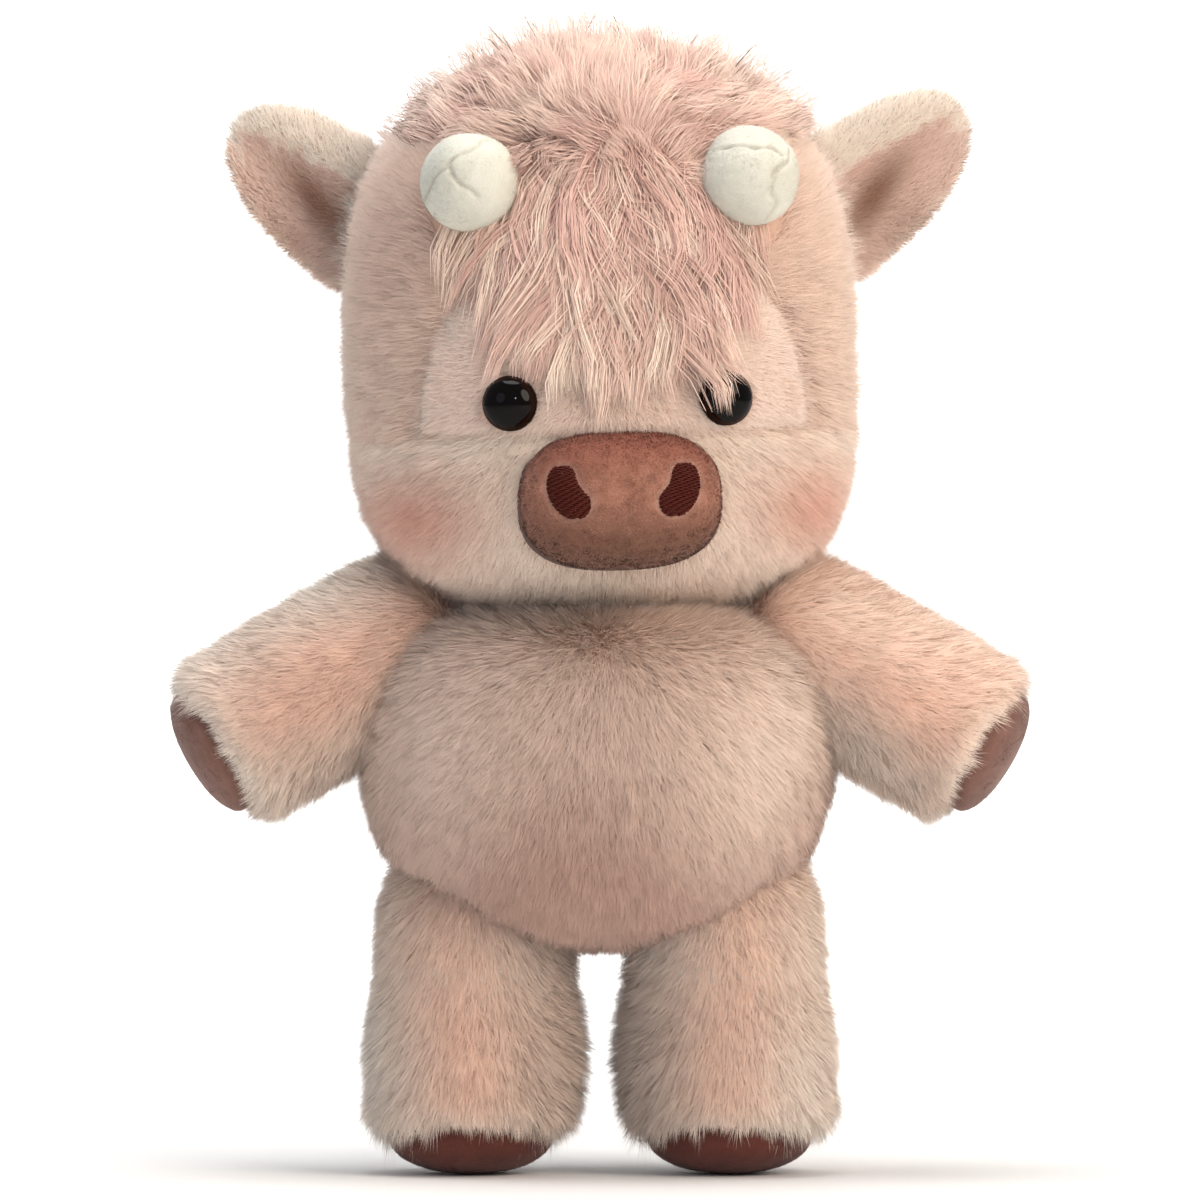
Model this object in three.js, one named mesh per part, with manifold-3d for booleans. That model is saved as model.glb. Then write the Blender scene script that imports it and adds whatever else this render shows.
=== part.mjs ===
// A standing plush calf, 300 mm tall, sewn from long-pile plush and filled with fibre.
// Millimetres, +Z up, the toy faces -Y. The origin is on the floor, under the middle of the whole toy.
// Every plush solid ends at the mean surface of its pile.
import * as THREE from 'three';
import Module from 'manifold-3d';

const wasm = await Module();
wasm.setup();

// From the origin back to the line through both hips, which the head overhangs in front
const hipLine = 6.5;

// Clearances between separate pieces
const seatGap = 0.3;
const seamGap = 0.3;
const jointGap = 0.35;

// Plush and its backing, measured from the pile's mean surface to the stuffing
const plushThickness = 5;

// How finely round forms are divided
const sides = 24;
const rows = 12;
const limbSides = 18;
const smallSides = 14;
const outlinePoints = 24;
const domeRows = 6;
const bagRows = 8;

// Body
const bodyWidth = 129;
const bodyFront = 55;
const bodyBack = 47;
const bodyGirthHeight = 104;
const bodyRise = 48;
const bodyDrop = 47;
const bodyPlanPower = 2.15;
const shoulderPower = 3.4;
const seatPower = 2.05;
const neckHeight = 150;
const neckHoleRadius = 27;
const neckPlugDepth = 16;

// Head, about its own middle
const headWidth = 135;
const headFront = 52;
const headBack = 54;
const headMiddleHeight = 222.5;
const headRise = 74;
const headDrop = 75.5;
const headPlanPower = 2.35;
const crownPower = 2.4;
const jawPower = 3.5;
const headTurn = 4.5;
const headTilt = 1.6;

// The stuffed muzzle that swells out of the face, below the middle of the head
const muzzleSwell = 9;
const muzzleSwellDrop = 46;
const muzzleSwellWidth = 40;
const muzzleSwellHeight = 27;

// Seams of the face, measured from the middle of the head
const maskSeamDrop = 28.5;
const maskHalfWidth = 51;
const maskHalfHeight = 52;
const muzzlePanelHalfWidth = 56;
const muzzlePanelHalfHeight = 40;
const browRise = 13;
const crownPanelHalfWidth = 21;
const crownPanelReach = 30;

// Eyes
const eyeSpacing = 55.8;
const eyeDrop = 21.5;
const eyeRadius = 7.1;
const eyeDomeHeight = 4.6;
const eyeRimThickness = 2;
const stemRadius = 2;
const stemLength = 12;
const washerRadius = 7;
const washerThickness = 2;
const washerSink = 2.4;

// Snout patch and its embroidered nostrils
const snoutWidth = 54;
const snoutHeight = 37.5;
const snoutPower = 2.6;
const snoutDrop = 46.8;
const snoutSwell = 8;
const nostrilSpacing = 28;
const nostrilLift = 2;
const nostrilWidth = 10.2;
const nostrilHeight = 14;
const nostrilLean = 28;
const nostrilStitch = 0.8;

// Horns
const hornRadius = 13.4;
const hornHeight = 15.5;
const hornSpacing = 71;
const hornRise = 34;
const hornLean = 20;
const hornPitch = 52;
const hornSkin = 2.2;

// Ears
const earLength = 38;
const earRootWidth = 47;
const earTipWidth = 27;
const earCup = 10;
const earOuterThickness = 5;
const earLiningThickness = 2.6;
const earRootRadius = 4.6;
const earRootOutset = 1.4;
const earRootRise = 29;
const earRootBack = 4;
const earLift = 17;
const earSweep = 6;

// Arms
const shoulderX = 63;
const shoulderY = -3;
const shoulderHeight = 133;
const armRadius = 23.4;
const armSwell = 0.7;
const armEndRadius = 22.6;
const armLength = 45.3;
const armDroop = 30.5;
const armForward = 8;
const armEndFillet = 2.6;
const handPadRadius = 17.6;
const handPadDome = 5.6;
const armLowerLimit = 12;

// Legs
const hipX = 33.8;
const hipHeight = 54;
const legHalfWidth = 29;
const legRadius = 27.5;
const legSwell = 0.9;
const legEndShare = 0.95;
const legLength = 43.5;
const legEndFillet = 3.4;
const footPadRadius = 22;
const footPadPower = 2.5;
const soleFlat = 0.5;
const padSeatDepth = 3;
const rootOpening = 0.62;
const legForwardLimit = 25;
const legBackLimit = 15;

// Pellet bags
const footPelletRadius = 17;
const footPelletHeight = 12;
const seatPelletRadius = 19;
const seatPelletHeight = 84;

const radians = THREE.MathUtils.degToRad;

const cloth = (color, roughness = 0.95) => new THREE.MeshStandardMaterial({ color, roughness, metalness: 0 });
const material = {
  plush: cloth(0xe3c4b0),
  shortPlush: cloth(0xe6c9b4),
  mauvePlush: cloth(0xc9a093),
  lining: cloth(0xb08878, 0.85),
  snout: cloth(0xa0705f, 0.85),
  thread: cloth(0x4a1d15, 0.6),
  handPad: cloth(0x8a6257, 0.85),
  footPad: cloth(0x6e3a33, 0.85),
  horn: cloth(0xe9e8dc, 0.85),
  eye: cloth(0x0d0a09, 0.08),
  washer: cloth(0xf0f0ec, 0.4),
  fibre: cloth(0xf4f2ec, 1),
  pellets: cloth(0xdcd6c8, 0.9),
};

// Closed geometry over rings of points, with an apex or a flat fan at each end
function loft(rings) {
  const count = rings[0].length;
  const points = rings.flat();
  const index = [];
  for (let row = 0; row + 1 < rings.length; row += 1) {
    for (let side = 0; side < count; side += 1) {
      const next = (side + 1) % count;
      const low = row * count;
      const high = low + count;
      index.push(low + side, low + next, high + next, low + side, high + next, high + side);
    }
  }
  const close = (row, flip) => {
    const middle = new THREE.Vector3();
    rings[row].forEach((point) => middle.addScaledVector(point, 1 / count));
    points.push(middle);
    const apex = points.length - 1;
    for (let side = 0; side < count; side += 1) {
      const here = row * count + side;
      const next = row * count + ((side + 1) % count);
      index.push(...(flip ? [apex, next, here] : [apex, here, next]));
    }
  };
  close(0, true);
  close(rings.length - 1, false);
  const geometry = new THREE.BufferGeometry().setFromPoints(points);
  geometry.setIndex(index);
  return geometry;
}

function signedVolume(position, index) {
  const corner = [new THREE.Vector3(), new THREE.Vector3(), new THREE.Vector3()];
  let volume = 0;
  for (let at = 0; at < index.length; at += 3) {
    corner.forEach((point, side) => point.fromArray(position, index[at + side] * 3));
    volume += corner[0].dot(corner[1].cross(corner[2])) / 6;
  }
  return volume;
}

// The solid of a closed indexed geometry, turned outward
function solid(geometry) {
  const position = geometry.attributes.position.array;
  const triangles = Uint32Array.from(geometry.index.array);
  if (signedVolume(position, triangles) < 0) {
    for (let at = 0; at < triangles.length; at += 3) {
      [triangles[at], triangles[at + 1]] = [triangles[at + 1], triangles[at]];
    }
  }
  const mesh = new wasm.Mesh({ numProp: 3, vertProperties: Float32Array.from(position), triVerts: triangles });
  return new wasm.Manifold(mesh);
}

function geometryOf(manifold) {
  const mesh = manifold.getMesh();
  const geometry = new THREE.BufferGeometry();
  geometry.setAttribute('position', new THREE.BufferAttribute(new Float32Array(mesh.vertProperties), 3));
  geometry.setIndex(new THREE.BufferAttribute(new Uint32Array(mesh.triVerts), 1));
  geometry.computeVertexNormals();
  return geometry;
}

const moved = (manifold, matrix) => manifold.transform(matrix.elements);
const joined = (solids) => solids.reduce((whole, next) => whole.add(next));

function piece(name, manifold, surface, parent) {
  const mesh = new THREE.Mesh(geometryOf(manifold), surface);
  mesh.name = name;
  parent.add(mesh);
  return mesh;
}

const signedPower = (value, power) => Math.sign(value) * Math.abs(value) ** power;

// A closed solid of revolution about Z from [radius, height] pairs that start and end on the axis
function revolved(profile, around = sides) {
  const rings = profile.map(([radius, height]) =>
    Array.from({ length: around }, (_, step) => {
      const angle = (step / around) * 2 * Math.PI;
      return new THREE.Vector3(radius * Math.cos(angle), radius * Math.sin(angle), height);
    }),
  );
  return solid(loft(rings));
}

function box(width, depth, height, centre) {
  const [x, y, z] = centre;
  const ring = (level) =>
    [[-1, -1], [1, -1], [1, 1], [-1, 1]].map(
      ([u, v]) => new THREE.Vector3(x + (u * width) / 2, y + (v * depth) / 2, level),
    );
  return solid(loft([ring(z - height / 2), ring(z + height / 2)]));
}

// A stuffed form: rounded plan sections on a rounded profile, in front and behind by different depths
function stuffed(form, inset) {
  const rings = [];
  for (let row = 1; row < rows; row += 1) {
    const climb = -Math.PI / 2 + (row / rows) * Math.PI;
    const power = climb > 0 ? form.upperPower : form.lowerPower;
    const reach = (climb > 0 ? form.rise : form.drop) - inset;
    const height = reach * signedPower(Math.sin(climb), 2 / power);
    const spread = Math.cos(climb) ** (2 / power);
    const ring = Array.from({ length: sides }, (_, step) => {
      const angle = (step / sides) * 2 * Math.PI;
      const x = (form.width / 2 - inset) * spread * signedPower(Math.cos(angle), 2 / form.planPower);
      const depth = (Math.sin(angle) < 0 ? form.front : form.back) - inset;
      const y = depth * spread * signedPower(Math.sin(angle), 2 / form.planPower);
      return new THREE.Vector3(x, y - swell(form, x, y, height), height);
    });
    rings.push(ring);
  }
  return solid(loft(rings));
}

// How far the muzzle stands out of the face at one place
function swell(form, x, y, height) {
  if (!form.swell || y > 0) {
    return 0;
  }
  const across = (x / form.swell.width) ** 2;
  const along = ((height + form.swell.drop) / form.swell.height) ** 2;
  const fade = Math.min(1, -y / (form.front * 0.5));
  return form.swell.out * fade * Math.exp(-across - along);
}

// The front surface of a stuffed form, at a place seen from the front
function frontOf(form, x, height, inset = 0) {
  const power = height > 0 ? form.upperPower : form.lowerPower;
  const reach = (height > 0 ? form.rise : form.drop) - inset;
  const spread = (1 - Math.abs(height / reach) ** power) ** (1 / power);
  const share = Math.abs(x) / ((form.width / 2 - inset) * spread);
  const y = -(form.front - inset) * spread * (1 - share ** form.planPower) ** (1 / form.planPower);
  return y - swell(form, x, y, height);
}

// The half width of a stuffed form, at a height and a depth behind its middle
function sideOf(form, y, height) {
  const power = height > 0 ? form.upperPower : form.lowerPower;
  const reach = height > 0 ? form.rise : form.drop;
  const spread = (1 - Math.abs(height / reach) ** power) ** (1 / power);
  const share = Math.abs(y) / ((y > 0 ? form.back : form.front) * spread);
  return (form.width / 2) * spread * (1 - share ** form.planPower) ** (1 / form.planPower);
}

// A flat outline, drawn in X and Z as the front view shows it, made solid from front to back
function outlineBlock(outline, front, back) {
  const ring = (y) => outline.map(([x, z]) => new THREE.Vector3(x, y, z));
  return solid(loft([ring(front), ring(back)]));
}

// The upper or lower part of an oval round the face, past the seam across it
function ovalPast(seam, halfWidth, halfHeight, upward) {
  const steps = 16;
  return Array.from({ length: steps + 1 }, (_, step) => {
    const angle = (step / steps) * Math.PI * upward;
    return [halfWidth * Math.cos(angle), seam + halfHeight * Math.sin(angle)];
  });
}

const group = new THREE.Group();
group.position.y = hipLine;

// Head

const headForm = {
  width: headWidth,
  front: headFront,
  back: headBack,
  rise: headRise,
  drop: headDrop,
  planPower: headPlanPower,
  upperPower: crownPower,
  lowerPower: jawPower,
  swell: { out: muzzleSwell, drop: muzzleSwellDrop, width: muzzleSwellWidth, height: muzzleSwellHeight },
};

const head = new THREE.Group();
head.position.set(0, 0, headMiddleHeight);
head.rotation.set(0, radians(-headTilt), radians(headTurn), 'YXZ');
group.add(head);
head.updateMatrix();
const intoHead = head.matrix.clone().invert();

// Everything below the level neck seam, and the neck's opening, in the head's own frame
const wide = 4 * headWidth;
const belowNeck = (lift) => moved(box(wide, wide, neckHeight, [0, 0, neckHeight / 2 + lift]), intoHead);
const neckPlug = (inset) =>
  revolved([
    [neckHoleRadius - inset, neckHeight - neckPlugDepth],
    [neckHoleRadius - inset, neckHeight + neckPlugDepth],
  ]);

const headWhole = stuffed(headForm, 0).subtract(belowNeck(jointGap));
const headOpening = stuffed(headForm, plushThickness).add(moved(neckPlug(0), intoHead));
const headCore = stuffed(headForm, plushThickness + seatGap)
  .add(moved(neckPlug(seatGap), intoHead))
  .intersect(headWhole);

// Ears, in the head's own frame: a root along the side of the head, and a cupped leaf from it

function earFrame(side) {
  const lean = Math.atan2(
    sideOf(headForm, earRootBack, earRootRise - earRootWidth / 3) -
      sideOf(headForm, earRootBack, earRootRise + earRootWidth / 3),
    (2 * earRootWidth) / 3,
  );
  const frame = new THREE.Group();
  const outset = sideOf(headForm, earRootBack, earRootRise) + earRootOutset;
  frame.position.set(side * outset, earRootBack, earRootRise);
  frame.rotation.set(0, -side * lean, 0);
  return frame;
}

// Half width of the leaf from its root to its tip
function earHalfWidth(share) {
  const taper = THREE.MathUtils.lerp(earRootWidth / 2, earTipWidth / 2 + 3, share);
  const tip = (1 - Math.max(0, (share - 0.45) / 0.55) ** 2.6) ** 0.5;
  return taper * tip;
}

// One layer of the leaf. Its depths are counted towards the back, and thin out at the rim.
// The lining goes round the other way, so that the faces that meet are split along the same diagonals.
function earLayer(side, near, far, shift, isLining) {
  const across = 7;
  const along = 8;
  const tipSlope = Math.tan(radians(earLift));
  const pastRoot = (earRootRadius + seatGap) / earLength;
  const shares = Array.from({ length: along + 1 }, (_, row) =>
    THREE.MathUtils.lerp(pastRoot, 0.985, row / along),
  );
  const rings = [];
  for (const share of isLining ? shares : [0, ...shares]) {
    const half = earHalfWidth(share);
    const cup = earCup * THREE.MathUtils.smoothstep(share, 0, 0.6);
    const out = share * earLength;
    const at = (slice, depth) => {
      const thin = 1 - 0.45 * Math.abs(slice) ** 3;
      const curl = cup * slice ** 2 * (half / (earRootWidth / 2)) + earSweep * share ** 2;
      return new THREE.Vector3(side * out, depth * thin + shift - curl, slice * half + out * tipSlope);
    };
    const start = isLining ? 1 : -1;
    const slices = Array.from({ length: across }, (_, step) => start * (1 - (2 * step) / (across - 1)));
    rings.push([...slices.map((slice) => at(slice, far)), ...slices.reverse().map((slice) => at(slice, near))]);
  }
  return solid(loft(rings));
}

// The round edge that the ear folds about, and the groove that takes it
function earRoot(grow) {
  const half = earRootWidth / 2 + grow;
  const radius = earRootRadius + grow;
  return revolved([[radius * 0.6, -half], [radius, -half + 2], [radius, half - 2], [radius * 0.6, half]], 12);
}

const ears = [-1, 1].map((side) => {
  const frame = earFrame(side);
  head.add(frame);
  frame.updateMatrix();
  const split = earRootRadius - earOuterThickness;
  const back = earLayer(side, split, earRootRadius, 0, false);
  const front = earLayer(side, split - earLiningThickness, split, -seatGap, true);
  return {
    side,
    frame,
    outer: back.add(earRoot(0)),
    lining: front,
    groove: moved(earRoot(jointGap), frame.matrix),
  };
});

// Eyes: a dome, its rim and its stem in one, with a lock washer behind the plush

const eyeHeight = -eyeDrop;
const eyeFace = frontOf(headForm, eyeSpacing / 2, eyeHeight);
const eyeTurn = Math.atan2(
  frontOf(headForm, eyeSpacing / 2 + eyeRadius, eyeHeight) - frontOf(headForm, eyeSpacing / 2 - eyeRadius, eyeHeight),
  2 * eyeRadius,
);

function eyeProfile(grow) {
  const dome = Array.from({ length: domeRows }, (_, step) => {
    const angle = (step / domeRows) * (Math.PI / 2);
    return [(eyeRadius + grow) * Math.cos(angle), eyeDomeHeight * Math.sin(angle)];
  });
  return [
    [(stemRadius + grow) * 0.6, -stemLength - grow],
    [stemRadius + grow, -stemLength + 1 - grow],
    [stemRadius + grow, -eyeRimThickness - grow],
    [eyeRadius + grow, -eyeRimThickness - grow],
    ...dome,
    [0.4, eyeDomeHeight],
  ];
}

function washer(grow) {
  const front = -plushThickness - washerSink + grow;
  const outer = revolved([
    [washerRadius + grow, front - washerThickness - 2 * grow],
    [washerRadius + grow, front],
  ], smallSides);
  const hole = revolved([[stemRadius + seatGap, -2 * stemLength], [stemRadius + seatGap, 0]], smallSides);
  return grow > 0 ? outer : outer.subtract(hole);
}

// From a piece built along +Z to its place on the face
function onFace(side) {
  const frame = new THREE.Group();
  frame.position.set((side * eyeSpacing) / 2, eyeFace, eyeHeight);
  frame.rotation.set(radians(90), 0, side * eyeTurn, 'ZXY');
  frame.updateMatrix();
  return frame.matrix;
}

const eyes = [-1, 1].map((side) => ({
  side,
  place: onFace(side),
  body: revolved(eyeProfile(0), smallSides),
  pocket: revolved(eyeProfile(seatGap), smallSides),
}));

// Horns: a skin over a stuffed dome, seated on the crown

const hornFoot = 0.7 * hornHeight;

function hornDome(inset) {
  const radius = hornRadius - inset;
  const straight = hornHeight - hornRadius;
  const dome = Array.from({ length: domeRows }, (_, step) => {
    const angle = (step / domeRows) * (Math.PI / 2);
    return [radius * Math.cos(angle), straight + radius * Math.sin(angle)];
  });
  return revolved([[radius * 0.92, -hornFoot], ...dome], smallSides);
}

const horns = [-1, 1].map((side) => {
  const frame = new THREE.Group();
  const x = (side * hornSpacing) / 2;
  frame.position.set(x, frontOf(headForm, x, hornRise), hornRise);
  frame.rotation.set(radians(90 - hornPitch), radians(side * hornLean), 0, 'YXZ');
  frame.updateMatrix();
  return { side, place: frame.matrix };
});
const headSeat = stuffed(headForm, -seatGap);

// Panels of the head, cut from one shell along their seams

const faceFront = -2 * headFront;
const faceBack = -headFront * 0.25;
const maskBlock = (grow) =>
  outlineBlock(
    ovalPast(-maskSeamDrop, maskHalfWidth + grow, maskHalfHeight, 1),
    faceFront,
    faceBack + grow,
  ).subtract(box(wide, wide, headRise, [0, 0, browRise - grow + headRise / 2 + 2 * grow]));
const muzzleBlock = (grow) =>
  outlineBlock(
    ovalPast(-maskSeamDrop - seamGap + grow, muzzlePanelHalfWidth + grow, muzzlePanelHalfHeight + 2 * grow, -1),
    faceFront,
    faceBack + grow,
  );
const crownBlock = (grow) => {
  const length = headFront + crownPanelReach;
  const centre = crownPanelReach - length / 2;
  const rim = Array.from({ length: outlinePoints }, (_, step) => {
    const angle = (step / outlinePoints) * 2 * Math.PI;
    const x = (crownPanelHalfWidth + grow) * signedPower(Math.cos(angle), 0.6);
    return [x, centre + (length / 2 + grow) * signedPower(Math.sin(angle), 0.6)];
  });
  const ring = (level) => rim.map(([x, y]) => new THREE.Vector3(x, y, level));
  return solid(loft([ring(browRise + seamGap - grow), ring(2 * headRise)]));
};

const headHoles = joined([...ears.map((ear) => ear.groove), ...eyes.map((eye) => moved(eye.pocket, eye.place))]);
const headShell = headWhole.subtract(headOpening).subtract(headHoles);
const facePanels = joined([maskBlock(seamGap), muzzleBlock(seamGap), crownBlock(seamGap)]);

piece('head_back', headShell.subtract(facePanels), material.plush, head);
piece('eye_mask', headShell.intersect(maskBlock(0)), material.shortPlush, head);
piece('muzzle_panel', headShell.intersect(muzzleBlock(0)), material.plush, head);
piece('crown_panel', headShell.intersect(crownBlock(0)), material.mauvePlush, head);

const washerPockets = joined(eyes.map((eye) => moved(washer(seatGap), eye.place)));
piece('head_fill', headCore.subtract(headHoles).subtract(washerPockets), material.fibre, head);

for (const eye of eyes) {
  const hand = eye.side < 0 ? 'right' : 'left';
  piece(`eye_${hand}`, moved(eye.body, eye.place), material.eye, head);
  piece(`eye_washer_${hand}`, moved(washer(0), eye.place), material.washer, head);
}

for (const horn of horns) {
  const hand = horn.side < 0 ? 'right' : 'left';
  const outside = moved(hornDome(0), horn.place);
  const inside = moved(hornDome(hornSkin), horn.place);
  const core = moved(hornDome(hornSkin + seatGap), horn.place);
  piece(`horn_${hand}`, outside.subtract(inside).subtract(headSeat), material.horn, head);
  piece(`horn_fill_${hand}`, core.subtract(headSeat), material.fibre, head);
}

for (const ear of ears) {
  const hand = ear.side < 0 ? 'right' : 'left';
  piece(`ear_outer_${hand}`, ear.outer, material.plush, ear.frame);
  piece(`ear_lining_${hand}`, ear.lining, material.lining, ear.frame);
}

// Snout: a swollen patch on the muzzle, with two embroidered nostrils

function snoutForm(grow) {
  const face = frontOf(headForm, 0, -snoutDrop);
  const deep = snoutSwell * 2;
  const layers = 10;
  const rings = [];
  for (let row = 1; row < layers; row += 1) {
    const climb = -Math.PI / 2 + (row / layers) * Math.PI;
    const spread = Math.cos(climb) ** (2 / 3);
    const y = face + deep - (deep + snoutSwell + grow) * signedPower(Math.sin(climb), 2 / 3);
    rings.push(
      Array.from({ length: sides }, (_, step) => {
        const angle = (step / sides) * 2 * Math.PI;
        const x = (snoutWidth / 2 + grow) * spread * signedPower(Math.cos(angle), 2 / snoutPower);
        const z = (snoutHeight / 2 + grow) * spread * signedPower(Math.sin(angle), 2 / snoutPower);
        return new THREE.Vector3(x, y, z - snoutDrop);
      }),
    );
  }
  return solid(loft(rings));
}

// A kidney whose hollow side faces the middle of the snout, and whose top leans outward
function nostrilBlock(side) {
  const outline = Array.from({ length: outlinePoints }, (_, step) => {
    const angle = (step / outlinePoints) * 2 * Math.PI;
    const hollow = 1 - 0.45 * Math.exp(-((((angle + Math.PI) % (2 * Math.PI)) - Math.PI) ** 2) / 0.35);
    const u = (nostrilWidth / 2) * Math.cos(angle) * hollow;
    const v = (nostrilHeight / 2) * Math.sin(angle);
    const lean = radians(nostrilLean);
    const x = side * (nostrilSpacing / 2 - u * Math.cos(lean) + v * Math.sin(lean));
    return [x, v * Math.cos(lean) + u * Math.sin(lean) + nostrilLift - snoutDrop];
  });
  return outlineBlock(outline, faceFront, -headFront);
}

piece('snout_patch', snoutForm(0).subtract(headSeat), material.snout, head);
const stitches = snoutForm(seatGap + nostrilStitch).subtract(snoutForm(seatGap));
for (const side of [-1, 1]) {
  const hand = side < 0 ? 'right' : 'left';
  piece(`nostril_${hand}`, stitches.intersect(nostrilBlock(side)), material.thread, head);
}

// Limbs: a round root that turns in its socket, a stuffed sleeve, and a pad that closes the end

function limbRings(limb, inset, around = limbSides) {
  const ring = (share, along) =>
    Array.from({ length: around }, (_, step) => {
      const angle = (step / around) * 2 * Math.PI;
      const x = (limb.halfWidth * share - inset) * Math.cos(angle);
      return new THREE.Vector3(x, (limb.radius * share - inset) * Math.sin(angle), -along);
    });
  const shaft = (along) => {
    const part = along / limb.length;
    const end = THREE.MathUtils.lerp(1, limb.endShare, part ** 2);
    return end + (limb.swell / limb.radius) * Math.sin(Math.PI * part);
  };
  return { ring, shaft };
}

function limbWhole(limb) {
  const { ring, shaft } = limbRings(limb, 0);
  const rings = [];
  for (let step = 1; step < domeRows; step += 1) {
    const angle = (step / domeRows) * (Math.PI / 2);
    rings.push(ring(Math.sin(angle), -limb.radius * Math.cos(angle)));
  }
  const straight = limb.length - limb.fillet;
  for (let step = 0; step <= 4; step += 1) {
    rings.push(ring(shaft((step / 4) * straight), (step / 4) * straight));
  }
  for (let step = 1; step <= 2; step += 1) {
    const angle = (step / 2) * (Math.PI / 2);
    const back = (limb.fillet * (1 - Math.cos(angle))) / limb.radius;
    rings.push(ring(shaft(straight) - back, straight + limb.fillet * Math.sin(angle)));
  }
  return solid(loft(rings));
}

// The space that a limb needs while it turns: one ball at the root, and the sleeve at each place.
// Both are drawn larger, so that even the middles of their flat faces clear the limb.
function limbTravel(limb, places) {
  const ballRows = 2 * domeRows;
  const flattening = Math.cos(Math.PI / sides) * Math.cos(Math.PI / (2 * ballRows));
  const room = (limb.radius + seamGap) / flattening - limb.radius;
  const { ring, shaft } = limbRings(limb, -room, sides);
  const nearPole = 0.05;
  const ball = Array.from({ length: ballRows + 1 }, (_, row) => {
    const angle = THREE.MathUtils.clamp((row / ballRows) * Math.PI, nearPole, Math.PI - nearPole);
    return ring(Math.sin(angle), -(limb.radius + room) * Math.cos(angle));
  });
  const sleeve = [0, 0.35, 0.7, 1].map((share) => ring(shaft(share * limb.length), share * limb.length));
  const turned = places.map((place) => moved(solid(loft(sleeve)), place.matrix));
  return joined([moved(solid(loft(ball)), places[0].matrix), ...turned]);
}

// The hollow of the sleeve, open at the root and at the end
function limbBore(limb, inset) {
  const { ring, shaft } = limbRings(limb, inset);
  const rings = [ring(rootOpening, -2 * limb.radius), ring(rootOpening, -limb.radius / 2)];
  for (let step = 0; step <= 3; step += 1) {
    const along = (step / 3) * (limb.length - 2 * padSeatDepth);
    rings.push(ring(shaft(along), along));
  }
  return solid(loft(rings)).add(padSeat(limb, seatGap - (inset - plushThickness)));
}

// The round opening at the end of the sleeve, which the pad's rim fills
function padSeat(limb, grow) {
  const radius = limb.padRadius + grow;
  const top = padSeatDepth * 2 + seatGap;
  return revolved([[radius, -limb.length - 2 * limb.padDome], [radius, -limb.length + top]], limbSides);
}

function pad(limb, grow) {
  const radius = limb.padRadius + grow;
  const dome = Array.from({ length: domeRows }, (_, step) => {
    const angle = (1 - step / domeRows) * (Math.PI / 2);
    const reach = limb.padDome + grow;
    return [
      radius * Math.cos(angle) ** (2 / limb.padPower),
      -limb.length - reach * Math.sin(angle) ** (2 / limb.padPower),
    ];
  }).slice(1);
  const tip = -limb.length - limb.padDome - grow;
  const rim = -limb.length + padSeatDepth + grow;
  return revolved([[radius * 0.2, tip], ...dome, [radius, -limb.length], [radius, rim]], limbSides);
}

function limbPieces(limb, weight) {
  const whole = limbWhole(limb);
  const cap = pad(limb, 0);
  const core = whole
    .intersect(limbBore(limb, plushThickness + seatGap))
    .subtract(pad(limb, seatGap));
  return {
    skin: whole.subtract(limbBore(limb, plushThickness)),
    fill: weight ? core.subtract(weight) : core,
    pad: cap,
  };
}

const armForm = {
  radius: armRadius,
  halfWidth: armRadius,
  length: armLength,
  swell: armSwell,
  endShare: armEndRadius / armRadius,
  fillet: armEndFillet,
  padRadius: handPadRadius,
  padDome: handPadDome,
  padPower: 2,
};
const legForm = {
  radius: legRadius,
  halfWidth: legHalfWidth,
  length: legLength,
  swell: legSwell,
  endShare: legEndShare,
  fillet: legEndFillet,
  padRadius: footPadRadius,
  padDome: hipHeight - legLength + soleFlat,
  padPower: footPadPower,
};

// The frame of an arm, raised from rest by an angle about its shoulder axis
function armPlace(side, raise) {
  const frame = new THREE.Group();
  frame.position.set(side * shoulderX, shoulderY, shoulderHeight);
  frame.rotation.order = 'YXZ';
  frame.rotation.y = -side * radians(90 - armDroop + raise);
  frame.rotation.x = -radians(armForward);
  frame.updateMatrix();
  return frame;
}

// The frame of a leg, swung forward from rest by an angle about its hip axis
function legPlace(side, swing) {
  const frame = new THREE.Group();
  frame.position.set(side * hipX, 0, hipHeight);
  frame.rotation.x = -radians(swing);
  frame.updateMatrix();
  return frame;
}

for (const side of [-1, 1]) {
  const hand = side < 0 ? 'right' : 'left';
  const arm = limbPieces(armForm);
  const armGroup = armPlace(side, 0);
  group.add(armGroup);
  piece(`arm_skin_${hand}`, arm.skin, material.plush, armGroup);
  piece(`arm_fill_${hand}`, arm.fill, material.fibre, armGroup);
  piece(`hand_pad_${hand}`, arm.pad, material.handPad, armGroup);
}

// The bag of pellets lies on the sole pad, under the leg's stuffing
function footPellets(grow) {
  const bottom = -legLength + padSeatDepth + seatGap;
  const radius = footPelletRadius + grow;
  const middle = bottom + footPelletHeight / 2;
  const half = footPelletHeight / 2 + grow;
  const profile = Array.from({ length: bagRows }, (_, step) => {
    const angle = -Math.PI / 2 + ((step + 0.5) / bagRows) * Math.PI;
    return [radius * Math.cos(angle) ** 0.5, middle + half * Math.sin(angle)];
  });
  const below = grow > 0 ? [[radius * 0.8, bottom - padSeatDepth]] : [];
  return revolved([...below, ...profile], smallSides);
}

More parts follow.
